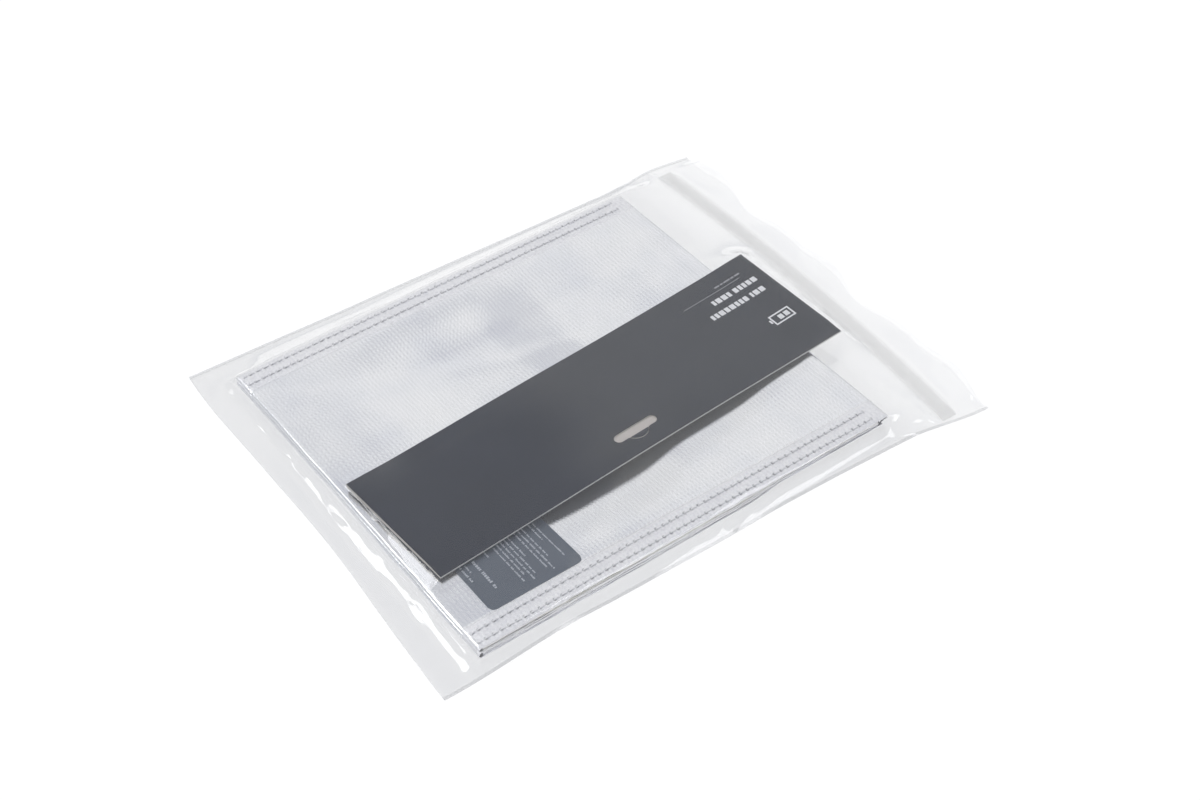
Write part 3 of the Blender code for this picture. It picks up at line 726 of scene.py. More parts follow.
# --- Bag: pieces ---
def outer_cloth():
    line, kinds, length = bag_section(0.0, step=2.4, front_step=1.0, turn_steps=14,
                                      fold_steps=14, pleat_steps=6)
    columns = across_lines(BAG_HALF_W)
    tangent = np.gradient(line, axis=0)
    tangent /= np.linalg.norm(tangent, axis=1, keepdims=True)
    flat_along, flat_across = np.meshgrid(line[:, 0], columns, indexing="ij")
    z = np.repeat(line[:, 1][:, None], len(columns), 1)
    run = np.repeat(length[:, None], len(columns), 1)
    flap, turn, front, gusset, back = ((kinds == part)[:, None] for part in
                                       ("flap", "turn", "front", "gusset", "back"))
    # the flap is a little narrower than the body
    taper = np.where(turn, smooth((HINGE_Z + HINGE_R - z) / (2 * HINGE_R)), flap * 1.0)
    across = flat_across * (1 - taper * (1 - (FLAP_W / 2) / BAG_HALF_W))

    # push along the outward normal: the front's relief carried round both ends, loose waves
    # on the folded end, faint ripples elsewhere
    push = np.where(front, front_relief(flat_along, flat_across), 0.0)
    fold_mid = (Z_FRONT + Z_LEAF_TOP) / 2
    push = np.where(gusset & (z > fold_mid),
                    front_relief(FOLD_ALONG, flat_across) * smooth((z - fold_mid) / 1.3), push)
    push = np.where(turn, front_relief(HINGE_ALONG, flat_across)
                    * smooth((z - HINGE_Z) / HINGE_R)
                    + 0.10 * ripple(run, flat_across, 22, 77), push)
    fold_wave = (0.30 * ripple(flat_across, 3.0, 26, 31)
                 + 0.12 * ripple(flat_across, run, 7, 33))
    push = np.where(gusset & (flat_along < FOLD_ALONG + 0.5),
                    push + fold_wave * smooth((FOLD_ALONG - flat_along) / 1.2), push)
    push = np.where(flap, 0.10 * ripple(run, flat_across, 30, 41), push)
    push = np.where(back, 0.12 * ripple(run, flat_across, 40, 43), push)
    along = flat_along + tangent[:, 1][:, None] * push
    z = z - tangent[:, 0][:, None] * push
    # slightly uneven cut edges down the long sides
    edge = np.abs(np.abs(flat_across) - BAG_HALF_W) < 0.01
    uneven = np.sign(flat_across) * 0.25 * ripple(run, flat_across, 9, 51)
    across = np.where(edge, across + uneven, across)

    seam = np.where(flap, seam_mask(across, FLAP_W / 2) * 0.6, seam_mask(flat_across))
    seam = np.where(turn, seam * smooth((z - HINGE_Z) / HINGE_R), seam)
    rows = ((front | back) * smooth((flat_along + 116.0) / 2.0)
            * smooth((ROW_END + 1 - flat_along) / 2.0))
    piece = sheet("outer_cloth", placed_grid(BAG, along, across, z), CLOTH_T, CLOTH,
                  rest_points(run, flat_across), sharp=65,
                  floats={"seam": seam, "along": flat_along - ROW_END, "rows": rows})
    blend_by(piece, flap_weights(line, kinds, len(columns)))
    register(piece, "silver_cloth", "outer_cloth_front", "outer_cloth_gusset",
             "outer_cloth_back", "mouth_fold_cloth", "flap_cloth")


def inner_lining():
    half = BAG_HALF_W - SEAM_W - 0.3
    line, kinds, length = bag_section(LINING_GAP, step=3, front_step=3, turn_steps=12,
                                      fold_steps=8, pleat_steps=8, tip_gap=1.5)
    columns = np.linspace(-half, half, 61)
    along, across = np.meshgrid(line[:, 0], columns, indexing="ij")
    run = np.repeat(length[:, None], len(columns), 1)
    z = (line[:, 1][:, None] + 0.06 * ripple(run, across, 25, 61)
         + np.where((kinds == "front")[:, None], front_relief(along, across), 0))
    piece = sheet("inner_lining", placed_grid(BAG, along, across, z), 0.25, LINING,
                  rest_points(run, across), sharp=65)
    blend_by(piece, flap_weights(line, kinds, len(columns)))
    register(piece, "glass_cloth", "lining_front", "lining_gusset", "lining_back",
             "mouth_fold_lining", "flap_lining")


def seam_layers(side, sign):
    """The turned-in cut edges between front and back, a stack of cloth down each long side."""
    parts, rests, index = [], [], []
    along = np.arange(FOLD_ALONG + 1.2, HINGE_ALONG - 0.3 - 1.9, 1.6)
    # towards the closed end the two leaves of the pleat lie between
    near = smooth((-76.0 - along) / 10.0)
    low, high = back_z(along) + 0.22, Z_FRONT - 0.22
    for i in range(6):
        if i < 3:
            bottom, top = Z_BACK_LOW + 0.24, Z_LEAF_LOW - 0.24
        else:
            bottom, top = Z_LEAF_TOP + 0.24, Z_FRONT - 0.24
        gap = (high - low) / 6 * (1 - near) + (top - bottom) / 3 * near
        z = ((low + (high - low) * (i + 0.5) / 6) * (1 - near)
             + (bottom + (top - bottom) * (i % 3 + 0.5) / 3) * near)
        z = z + 0.03 * gap * ripple(along, i * 9, 22, 70 + i)
        inner = (BAG_HALF_W - SEAM_W) * (1 - near) + (BAG_HALF_W - 9.5) * near
        inset = (0.15 + 0.75 * (0.5 + 0.5 * noise(along, i * 5, 30, 80 + i))
                 + 0.22 * noise(along, i * 3, 4, 90 + i))
        columns = [inner + (BAG_HALF_W - 2.5 - inner) * part for part in (0, 0.35, 0.7, 1.0)]
        columns = np.stack(columns + [BAG_HALF_W - inset], 1)
        heights = np.repeat(z[:, None], 5, 1)
        heights[:, -1] += 0.10 * noise(along, i, 12, 100 + i)
        along_grid = np.repeat(along[:, None], 5, 1)
        grid = placed_grid(BAG, along_grid, sign * columns, heights)
        thickness = np.minimum(1.15, gap * 0.95)[:, None] * np.array([[1, 1, 1, 1, 0.82]])
        parts.append(shell(grid, thickness))
        index += [0 if i == 3 else 1] * len(parts[-1][1])
        rests.append(twice(rest_points(along_grid, columns, i * 3.0)))
    verts, faces = join(parts)
    piece = mesh_object("seam_allowance_stack_" + side, verts, faces, [LINING, EDGE],
                        index=index, rest=np.concatenate(rests), sharp=60)
    recalc_normals(piece.data)
    register(piece, "glass_cloth", "seam_allowance_" + side, body="safe_bag")


def stitch_row(name, node, body, path, height, radius, up, rise, dip, pitch):
    """Lock stitches along the bag's plan path (n, 2), on surfaces at the given heights:
    each stitch arches by rise and dives by dip at its holes. up is 1 or -1."""
    x, y = to_frame(BAG, path[:, 0], path[:, 1])
    length = running_length(np.stack([x, y], 1))
    count = int(round(length[-1] / pitch))
    at = np.linspace(0, length[-1], count * 7 + 1)
    x, y, z = (np.interp(at, length, values) for values in (x, y, height))
    phase = (at / length[-1] * count) % 1.0
    arch = np.sin(math.pi * phase) ** 0.85
    sway = 0.10 * np.sin(2 * math.pi * phase) + 0.10 * noise(at, 0, 6, 7)
    tangent = np.gradient(np.stack([x, y], 1), axis=0)
    tangent /= np.maximum(np.linalg.norm(tangent, axis=1, keepdims=True), 1e-9)
    x, y = x - tangent[:, 1] * sway, y + tangent[:, 0] * sway
    z = z + up * (-dip + (dip + rise) * arch)
    verts, faces, rest = tube(np.stack([x, y, z], 1), radius * (0.72 + 0.28 * arch), sides=7)
    piece = mesh_object(name, verts, faces, [THREAD], rest=rest, sharp=80)
    register(piece, "thread", node, body=body)


def seam_threads(side, sign):
    """Two rows joined by a turn near the closed end, seen from the front and the back."""
    end = -BAG_L / 2 + 2.6
    run = np.linspace(ROW_END, end, 120)
    wobble = 0.25 * noise(run, 0, 40, 12) + 0.12 * noise(run, 0, 11, 13)
    outer = sign * (BAG_HALF_W - STITCH_ROWS[0] + wobble)
    inner = sign * (BAG_HALF_W - STITCH_ROWS[1] - 0.8 * wobble[::-1])
    turn = [sign * (BAG_HALF_W - inset) for inset in (4.0, 6, 8.0)]
    along = np.concatenate([run, [end - 0.9, end - 1.0, end - 0.9], run[::-1]])
    across = np.concatenate([outer, turn, inner])
    path = np.stack([along, across], 1)
    stitch_row("needle_stitches_" + side, "needle_thread_" + side, "safe_bag", path,
               front_top(along, across), radius=0.44, up=1.0, rise=0.36, dip=0.60, pitch=PITCH)
    stitch_row("bobbin_stitches_" + side, "bobbin_thread_" + side, "safe_bag", path,
               back_z(along) - 0.22, radius=0.22, up=-1.0, rise=0.10, dip=0.35, pitch=PITCH)


def tapes():
    """Loop tape on the bag, hook tape on the flap, and the flap's sewn lines."""
    centre = FLAP_TIP + 4.0 + 13.0
    # name, half length, half width, z from, z to, material, body, node, seed
    for name, half_l, half_w, low, high, material, body, node, seed in (
            ("loop_tape_pile", 13.0, 94.0, 2.85, 3.35, LOOP, "safe_bag", "loop_tape", 5),
            ("hook_tape_pile", 10.0, 88.0, 2.0, 2.6, HOOK, "flap", "hook_tape", 8)):
        along, across = np.meshgrid(np.linspace(centre - half_l, centre + half_l, 27),
                                    np.linspace(-half_w, half_w, 127), indexing="ij")
        inward = np.minimum(half_l - np.abs(along - centre), half_w - np.abs(across))
        thickness = ((high - low) * (0.55 + 0.40 * smooth(inward / 1.2))
                     + 0.04 * ripple(along * 3, across * 3, 4, seed) * smooth(inward / 2))
        grid = placed_grid(BAG, along, across, np.full_like(along, (low + high) / 2))
        piece = sheet(name, grid, thickness, material, rest_points(along, across), sharp=70)
        register(piece, node, node, body=body)

    def outline(half_l, half_w):
        near, far = centre - half_l, centre + half_l
        return [(near, -half_w), (far, -half_w), (far, half_w), (near, half_w), (near, -half_w)]

    hem, hem_half, hem_start = FLAP_TIP + 1.6, FLAP_W / 2 - 2, HINGE_ALONG - 3
    hem_line = [(hem_start, -hem_half), (hem, -hem_half), (hem, hem_half), (hem_start, hem_half)]
    # name, points, z, radius, body, node
    for name, points, z, radius, body, node in (
            ("loop_tape_stitches", outline(11.7, 92.5), 2.72, 0.14, "safe_bag",
             "loop_tape_thread"),
            ("hook_tape_stitches", outline(8.5, 86.5), 0.80, 0.17, "flap", "hook_tape_thread"),
            ("flap_hem_stitches", hem_line, 0.80, 0.17, "flap", "flap_hem_thread")):
        path = resample(points, 2.0)
        stitch_row(name, node, body, path, np.full(len(path), z), radius, up=-1, rise=0.10,
                   dip=0.1, pitch=3.6)


# --- Header card, folded along its -Y edge ---
def card_lift(along, across):
    """How far the card stands above its flat plane: its +X end is held up by the film."""
    end = smooth((along - 15) / 108.0)
    z = 1.0 + end * (1.5 + 1.1 * across / CARD_HALF_W)
    z = z + 1.1 * np.cos(math.pi * np.clip(along, -123, 123) / 246.0) ** 2
    return z + 0.25 * ripple(along, across, 70, 201)


def leaf_spread(along, across):
    """The front leaf springs away from the back leaf towards its free edges."""
    free = smooth((across + 30) / 66.0)
    ends = smooth((np.abs(along) - 95) / 28.0) * smooth((across + 37) / 12.0)
    return 0.35 * free + 0.70 * ends


def card_z(along, across):
    return (Z_CARD_FRONT + PAPER / 2 + card_lift(along, across)
            + leaf_spread(along, across))


def circle(along, across, radius, start, end, steps):
    """Points on a circle between two angles in degrees."""
    return [(along + radius * math.cos(math.radians(angle)),
             across + radius * math.sin(math.radians(angle)))
            for angle in np.linspace(start, end, steps)]


def half_moon(chord, radius, steps):
    """Arc on the -across side of the slot, from a chord that far below the slot's middle."""
    start = 180 + math.degrees(math.asin(chord / radius))
    return circle(SLOT_ALONG, SLOT_ACROSS, radius, start, 540 - start, steps)


def cut_through(piece, outline, low, high):
    """Subtract a prism over the outline between two heights."""
    verts = [(x, y, z) for z in (low, high) for x, y in outline]
    count = len(outline)
    faces = [(i, (i + 1) % count, (i + 1) % count + count, i + count) for i in range(count)]
    faces += [tuple(range(count))[::-1], tuple(range(count, 2 * count))]
    cutter = mesh_object("slot_cutter", verts, faces, CARD_MATERIALS, index=[CUT] * (count + 2))
    cut = piece.modifiers.new("slot", "BOOLEAN")
    cut.operation, cut.solver, cut.object = "DIFFERENCE", "EXACT", cutter
    graph = bpy.context.evaluated_depsgraph_get()
    done = bpy.data.meshes.new_from_object(piece.evaluated_get(graph), depsgraph=graph)
    piece.modifiers.clear()
    piece.data = done
    bpy.data.objects.remove(cutter)


def header_card():
    fold = -CARD_HALF_W + (Z_CARD_FRONT - Z_CARD_BACK) / 2 + PAPER / 2
    low = np.stack([np.linspace(CARD_HALF_W, fold, 38), np.full(38, Z_CARD_BACK)], 1)
    bend = arc(fold, Z_CARD_MID, (Z_CARD_FRONT - Z_CARD_BACK) / 2, 270, 90, 8)
    top = np.stack([np.linspace(fold, CARD_HALF_W, 38), np.full(38, Z_CARD_FRONT)], 1)
    line = np.concatenate([low, bend[1:-1], top])
    lengths = np.linspace(-CARD_HALF_L, CARD_HALF_L, 124)
    grid = np.zeros((len(line), len(lengths), 3))
    grid[:, :, 0] = lengths[None, :]
    grid[:, :, 1:] = line[:, None, :]
    verts, faces = shell(grid, PAPER)
    piece = mesh_object("header_card_folded", verts, faces, CARD_MATERIALS)
    leaf_faces = 2 * (len(line) - 1) * (len(lengths) - 1)

    def paint(number, face):
        """Outside faces are printed, inside faces bare board, cut edges show the core."""
        centre, normal = face.calc_center_median(), face.normal
        if number >= leaf_faces:
            return CUT
        # the outermost faces of the fold are painted a broken, paler grey
        if centre.y < (fold - 0.10) * MM and normal.y < -0.35:
            return PALE_FOLD_FACES
        outside = ((normal.z > 0.3 and centre.z > Z_CARD_MID * MM)
                   or (normal.z < -0.3 and centre.z < Z_CARD_MID * MM)
                   or (centre.y < fold * MM and normal.y < -0.2))
        return PRINTED if outside else BARE

    recalc_normals(piece.data, paint)
    # hang slot with its half-moon: the slot is open in the front leaf only
    end_r = SLOT_W / 2
    end_along = SLOT_L / 2 - end_r
    slot = circle(SLOT_ALONG + end_along, SLOT_ACROSS, end_r, -90, 90, 17)
    slot += circle(SLOT_ALONG - end_along, SLOT_ACROSS, end_r, 90, 270, 17)
    cut_through(piece, slot + half_moon(end_r, MOON_R, 29), Z_CARD_MID, 12.0)
    cut_through(piece, half_moon(end_r - DIE_CUT, MOON_R, 29), 6.0, Z_CARD_MID)

    # bend the flat card to its lie
    mesh = piece.data
    points = np.zeros(len(mesh.vertices) * 3)
    mesh.vertices.foreach_get("co", points)
    along, across, z = (points.reshape(-1, 3) / MM).T
    upper = np.clip((z - Z_CARD_BACK) / (Z_CARD_FRONT - Z_CARD_BACK), 0, 1)
    z = z + card_lift(along, across) + upper * leaf_spread(along, across)
    x, y = to_frame(CARD_FRAME, along, across)
    mesh.vertices.foreach_set("co", (np.stack([x, y, z], 1) * MM).astype(np.float32).ravel())
    mesh.update()
    mesh.shade_smooth()
    mesh.set_sharp_from_angle(angle=math.radians(35))
    register(piece, "card_print", "header_card", body="card")


def card_marks(name, boxes, material):
    """Thin printed bars that follow the card. boxes are (along from, to, across from, to)."""
    thickness = 0.03
    parts = []
    for start, end, low, high in boxes:
        along, across = np.meshgrid(
            np.linspace(start, end, max(2, int((end - start) / 1.5) + 2)),
            np.linspace(low, high, 3 if high - low < 3 else 5), indexing="ij")
        z = card_z(along, across) + thickness / 2 + 0.01
        parts.append(shell(placed_grid(CARD_FRAME, along, across, z), thickness))
    piece = mesh_object(name, *join(parts), [material])
    register(piece, "card_print", body="card")


def card_graphics():
    rng = np.random.RandomState(4)
    marks = []
    # large letters: across, word lengths, start
    for across, words, start in ((8.6, (9.0, 24.0), 115.0), (16.4, (15.0, 12.0), 116.5)):
        at = start
        for word in words:
            end = at - word
            while at > end + 1.2:
                letter_end = max(at - rng.choice([2.0, 2.5, 3.0]), end)
                marks.append((letter_end, at, across + 0.5, across + 3.9))
                at = letter_end - 0.75
            at = end - 2.2
    # simple battery pictogram, as boxes about its middle
    middle_along, middle_across = 108.0, -10.0
    for start, end, low, high in (
            (-6.5, 6.5, -3.6, -2.7), (-6.5, 6.5, 2.7, 3.6), (-6.5, -5.6, -2.7, 2.7),
            (5.6, 6.5, -2.7, 2.7), (-8.0, -6.9, -1.3, 1.3), (1.6, 4.4, -1.6, 1.6),
            (-2.2, 0.6, -1.6, 1.6)):
        marks.append((middle_along + start, middle_along + end,
                      middle_across + low, middle_across + high))
    card_marks("card_print_marks", marks, INK)
    # a thin rule and a line of small words
    faint = [(73.0, 110.4, 24.0, 24.35)]
    at = 112.4
    for word in (3.1, 2.0, 4.0, 1.6, 3.2):
        faint.append((at - word, at, 26.2, 27.2))
        at -= word + 0.7
    card_marks("card_print_fine", faint, FAINT)


def slot_tabs():
    """The half-moon pieces of the hang slot, still in their die cut."""
    chord = SLOT_W / 2 + DIE_CUT
    chord_across = SLOT_ACROSS - chord
    rim = np.array(half_moon(chord, MOON_R - DIE_CUT, 33))
    part = (np.arange(7) / 6)[:, None]
    along = np.repeat(rim[:, 0][None], 7, 0)
    across = chord_across + (rim[:, 1] - chord_across)[None] * part
    for node, height, up_face, down_face in (
            ("hang_slot_tab_front", Z_CARD_FRONT, PRINTED, BARE),
            ("hang_slot_tab_back", Z_CARD_BACK, BARE, PRINTED)):
        z = height + card_lift(along, across)
        if height == Z_CARD_FRONT:
            z = z + leaf_spread(along, across)
        z = z + 0.05 + 0.25 * smooth((chord_across - across) / 4.0)
        verts, faces = shell(placed_grid(CARD_FRAME, along, across, z), PAPER)
        piece = mesh_object(node + "_leaf", verts, faces, [CARD, INSIDE, CORE])

        def paint(_, face):
            if abs(face.normal.z) <= 0.5:
                return CUT
            return up_face if face.normal.z > 0 else down_face

        recalc_normals(piece.data, paint)
        register(piece, "card_print", node, body="card")


# --- Label on the bag's front, near the closed end ---
def label_patch():
    """The printed patch follows the cloth; its corners are rounded."""
    start, end, low, high = LABEL_BOX
    half_l, half_w, corner = (end - start) / 2, (high - low) / 2, 3.0
    rows = np.linspace(-half_l, half_l, 61)
    past = np.abs(rows) - half_l + corner
    rounding = corner - np.sqrt(np.maximum(corner * corner - past ** 2, 0))
    inset = np.where(past > 0, rounding, 0)
    along = np.repeat(rows[:, None], 61, 1) + (start + end) / 2
    across = (half_w - inset)[:, None] * np.linspace(-1, 1, 61)[None] + (low + high) / 2
    z = front_top(along, across) + 0.06 + 0.02 * ripple(along, across, 9, 21)
    verts, faces = shell(placed_grid(BAG, along, across, z), 0.09)
    piece = mesh_object("printed_label_patch", verts, faces, [LABEL], sharp=60)
    register(piece, "label_ink", "printed_label", body="safe_bag")


# Rows of writing: along, letter height, row length
LABEL_ROWS = [
    (-98.6, 1.0, 29), (-96.2, 0.8, 24), (-92.0, 1.5, 38), (-87.6, 0.8, 14), (-85.0, 0.8, 22),
    (-80.2, 0.85, 43), (-78.0, 0.85, 39), (-75.8, 0.85, 44), (-73.6, 0.85, 41),
    (-71.4, 0.85, 30), (-67.6, 0.85, 42), (-65.4, 0.85, 44), (-63.2, 0.85, 36),
    (-59.4, 0.8, 26), (-57.2, 0.8, 40)]


def label_marks():
    """The writing is stood in for by rows of plain marks."""
    rng = np.random.RandomState(11)
    margin = -45.5
    parts = []
    for along, height, length in LABEL_ROWS:
        at, end = margin, margin - length
        while at > end:
            for _ in range(rng.randint(3, 9)):
                width = height * rng.choice([0.45, 0.6, 0.75])
                tall = height * rng.choice([0.7, 0.85, 1.0])
                if at - width < end:
                    break
                parts.append(label_mark(along - height / 2, along - height / 2 + tall,
                                        at - width, at))
                at -= width + 0.24 * height
            at -= 0.75 * height
    piece = mesh_object("label_print_marks", *join(parts), [LABEL_INK])
    register(piece, "label_ink", body="safe_bag")


def label_mark(start, end, low, high):
    top = float(front_top((start + end) / 2, (low + high) / 2)) + 0.135
    corners = [to_frame(BAG, along, across) for along, across in
               ((start, low), (end, low), (end, high), (start, high))]
    verts = [(x, y, z) for z in (top - 0.04, top) for x, y in corners]
    return verts, [(3, 2, 1, 0), (4, 5, 6, 7), (0, 1, 5, 4), (1, 2, 6, 5), (2, 3, 7, 6),
                   (3, 0, 4, 7)]


# --- Sleeve: outline in plan ---
def edge_low(x):
    """The -Y long edge: drawn in along the middle by the pack's thickness."""
    part = x / SLEEVE_X
    drawn = 5.6 * smooth((part + 1.0) / 0.5) * smooth((1.0 - part) / 0.28)
    return -SLEEVE_Y - 0.9 + drawn + 0.9 * np.sin(part * 4.2) + 0.3 * noise(x, 0, 30, 301)


def edge_high(x):
    """The +Y long edge."""
    part = x / SLEEVE_X
    return (SLEEVE_Y + 0.9 - 0.4 * smooth((part + 1.0) / 0.5) + 3.2 * bell(part, 0.86, 0.12)
            + 0.3 * noise(x, 0, 34, 303))


def edge_folded(y):
    """The folded -X end."""
    part = y / SLEEVE_Y
    return -SLEEVE_X - 1.8 + 2.6 * bell(part, -0.15, 0.45) - 1.4 * bell(part, 0.8, 0.25)


def edge_mouth(y):
    part = y / SLEEVE_Y
    return (SLEEVE_X + 1.4 + 1.6 * np.sin(part * 9.0 + 0.6) + 1.2 * np.sin(part * 17.0 + 2.0)
            - 1.0 * part)


def zip_x(y):
    part = y / SLEEVE_Y
    return ZIP_X - 1.0 + 5.0 * (1 - part * part)


def plan(flat_x, flat_y):
    """Where a point of the flat sleeve lies in the pack, seen from above."""
    low, high = edge_low(flat_x), edge_high(flat_x)
    y = low + (high - low) * (flat_y / SLEEVE_Y + 1) / 2
    folded, seal, mouth = edge_folded(flat_y), zip_x(flat_y) - ZIP_HALF_W, edge_mouth(flat_y)
    x = np.where(
        flat_x <= SEAL_EDGE,
        folded + (seal - folded) * (flat_x + SLEEVE_X) / (SEAL_EDGE + SLEEVE_X),
        seal + (mouth - seal) * (flat_x - SEAL_EDGE) / (SLEEVE_X - SEAL_EDGE))
    return x, y


def rect_dist(along, across, half_l, half_w):
    """Signed distance to a rectangle, negative inside."""
    dx, dy = np.abs(along) - half_l, np.abs(across) - half_w
    return np.hypot(np.maximum(dx, 0), np.maximum(dy, 0)) + np.minimum(np.maximum(dx, dy), 0)


def card_z_clipped(along, across):
    return card_z(np.clip(along, -CARD_HALF_L, CARD_HALF_L),
                  np.clip(across, -CARD_HALF_W, CARD_HALF_W))


def seal_z(flat_y):
    """Height of the front wall along the closed press-seal; its ends are crushed flat."""
    return 0.62 + 2.0 * smooth((SLEEVE_Y - np.abs(flat_y) - 2.0) / 11.0)


def support_height(x, y):
    """What the film rests on: the bag's rim and face, the card, and the back wall."""
    along, across = to_local(BAG, x, y)
    card_at = to_local(CARD_FRAME, x, y)
    bag_gap = rect_dist(along, across, BAG_L / 2 - 0.4, BAG_HALF_W - 0.6)
    card_gap = rect_dist(*card_at, CARD_HALF_L, CARD_HALF_W)
    out = np.abs(across)
    bag_z = Z_FRONT_TOP + 0.66 - 0.7 * smooth((bag_gap - 0.2) / 1.8) ** 2
    # raised over the stitches, lower over the pocket
    bag_z = bag_z + (0.42 * smooth((out - (BAG_HALF_W - 12.5)) / 2.0)
                     * smooth((BAG_HALF_W + 0.8 - out) / 1.5))
    bag_z = bag_z - (0.8 * smooth((BAG_HALF_W - SEAM_W - out) / 38.0)
                     * smooth((along + 88) / 60.0) * smooth((106 - along) / 46.0))
    z = np.full_like(x, 0.36)
    z = np.where(bag_gap < 1.9, np.maximum(z, bag_z), z)
    # past the bag's mouth the film bridges towards the press-seal, leaving the flap room
    past = along - BAG_L / 2
    bridge = Z_FRONT_TOP + 0.72 - 0.30 * smooth(past / 7.0) - 0.9 * smooth((past - 6.5) / 5.5)
    z = np.where((past > -1.0) & (past < 12.0) & (out < 106.0), np.maximum(z, bridge), z)
    return np.where(card_gap < 1.7, np.maximum(z, card_z_clipped(*card_at) + 0.58), z)


def support_sampler():
    """Bilinear lookup of the support height on a half-millimetre grid."""
    cell = 0.5
    axis_x = np.arange(-160, 160.5, cell)
    axis_y = np.arange(-130, 130.5, cell)
    field = support_height(*np.meshgrid(axis_x, axis_y, indexing="ij"))

    def below(x, y):
        at_x = np.clip((x - axis_x[0]) / cell, 0, len(axis_x) - 1.001)
        at_y = np.clip((y - axis_y[0]) / cell, 0, len(axis_y) - 1.001)
        i, j = at_x.astype(int), at_y.astype(int)
        part_x, part_y = at_x - i, at_y - j
        return ((field[i, j] * (1 - part_x) + field[i + 1, j] * part_x) * (1 - part_y)
                + (field[i, j + 1] * (1 - part_x) + field[i + 1, j + 1] * part_x) * part_y)

    return below


def neighbour_sum(grid):
    return grid[2:, 1:-1] + grid[:-2, 1:-1] + grid[1:-1, 2:] + grid[1:-1, :-2]


def laplacian(grid):
    result = np.zeros_like(grid)
    result[1:-1, 1:-1] = neighbour_sum(grid) - 4 * grid[1:-1, 1:-1]
    return result


def neighbour_mean(grid):
    result = grid.copy()
    result[1:-1, 1:-1] = neighbour_sum(grid) / 4
    return result


def film_springs(flat_x, flat_y, free):
    """Links along, across and diagonally, as sets that share no point:
    first ends, second ends, rest length, stiffness, inverse of the summed freedom."""
    rows, columns = flat_x.shape
    line_x, line_y = flat_x[:, 0], flat_y[0]
    mid_x, mid_y = (line_x[1:] + line_x[:-1]) / 2, (line_y[1:] + line_y[:-1]) / 2
    # spare length near the folded end, the press-seal and the welds
    rest_x = np.full((rows - 1, columns), (SEAL_EDGE + SLEEVE_X) / (rows - 1) * SLACK_X)
    rest_x = rest_x * (1 + 0.20 * bell(mid_x, -SLEEVE_X, 14.0)
                       + 0.10 * bell(mid_x, SEAL_EDGE, 16.0))[:, None]
    rest_x = rest_x * (1 + 0.035 * noise(flat_x[:-1], flat_y[:-1], 21, 941)
                       * bell(mid_x, -SLEEVE_X, 22.0)[:, None])
    rest_y = np.full((rows, columns - 1), 2 * SLEEVE_Y / (columns - 1) * SLACK_Y)
    rest_y = rest_y * (1 + 0.075 * smooth((np.abs(mid_y) - 104) / 8.0))[None, :]
    diagonal = np.sqrt(((rest_x[:, 1:] + rest_x[:, :-1]) / 2) ** 2
                       + ((rest_y[1:] + rest_y[:-1]) / 2) ** 2)
    every, head, tail = slice(None), slice(None, -1), slice(1, None)

    def pairs(start):
        return slice(start, -1, 2), slice(start + 1, None, 2)

    links = [((row, every), (after, every), rest_x[k::2], 1.0)
             for k in (0, 1) for row, after in [pairs(k)]]
    links += [((every, column), (every, after), rest_y[:, k::2], 1.0)
              for k in (0, 1) for column, after in [pairs(k)]]
    links += [((row, near), (after, far), diagonal[k::2], 0.35)
              for near, far in ((head, tail), (tail, head))
              for k in (0, 1) for row, after in [pairs(k)]]
    springs = []
    for first, second, rest, stiffness in links:
        total = free[first] + free[second]
        inverse = np.where(total > 0, 1 / np.maximum(total, 1e-9), 0)
        springs.append((first, second, rest[..., None], stiffness, inverse))
    return springs


def refine(old, rows, columns):
    """The film resampled to a finer grid."""
    at_row = np.linspace(0, old.shape[0] - 1, rows)
    at_column = np.linspace(0, old.shape[1] - 1, columns)
    i = np.minimum(at_row.astype(int), old.shape[0] - 2)
    j = np.minimum(at_column.astype(int), old.shape[1] - 2)
    part_i, part_j = (at_row - i)[:, None, None], (at_column - j)[None, :, None]
    return ((old[i][:, j] * (1 - part_i) + old[i + 1][:, j] * part_i) * (1 - part_j)
            + (old[i][:, j + 1] * (1 - part_i) + old[i + 1][:, j + 1] * part_i) * part_j)


def settle(film, flat_x, flat_y, home, fixed, below, steps, bending):
    """Let the film fall for a number of steps."""
    keep_speed, passes, fall, squeeze = 0.90, 5, 0.0016, 0.6
    free = np.where(fixed, 0.0, 1.0)[..., None]
    pull = fall * (0.25 + 10 * bell(flat_x, -SLEEVE_X, 17.0)
                   + 2.5 * bell(np.abs(flat_y), SLEEVE_Y, 10.0))
    springs = film_springs(flat_x, flat_y, free)
    previous = film.copy()
    for _ in range(steps):
        speed = (film - previous) * keep_speed
        previous = film.copy()
        film = film + speed * free
        film[..., 2] -= pull * free[..., 0]
        for _ in range(passes):
            for first, second, rest, stiffness, inverse in springs:
                gap = film[second] - film[first]
                length = np.sqrt((gap * gap).sum(-1, keepdims=True))
                shift = gap * ((length - rest) / np.maximum(length, 1e-9) * inverse)
                shift = np.where(length < rest, shift * (stiffness * squeeze),
                                 shift * stiffness)
                film[first] += shift * free[first]
                film[second] -= shift * free[second]
        film -= bending * laplacian(laplacian(film)) * free
        low = below(film[..., 0], film[..., 1])
        hit = (film[..., 2] < low) & ~fixed
        film[..., 2] = np.where(hit, low, film[..., 2])
        previous[hit] = film[hit] * 0.6 + previous[hit] * 0.4
        film[fixed] = home[fixed]
        previous[fixed] = home[fixed]
    return film


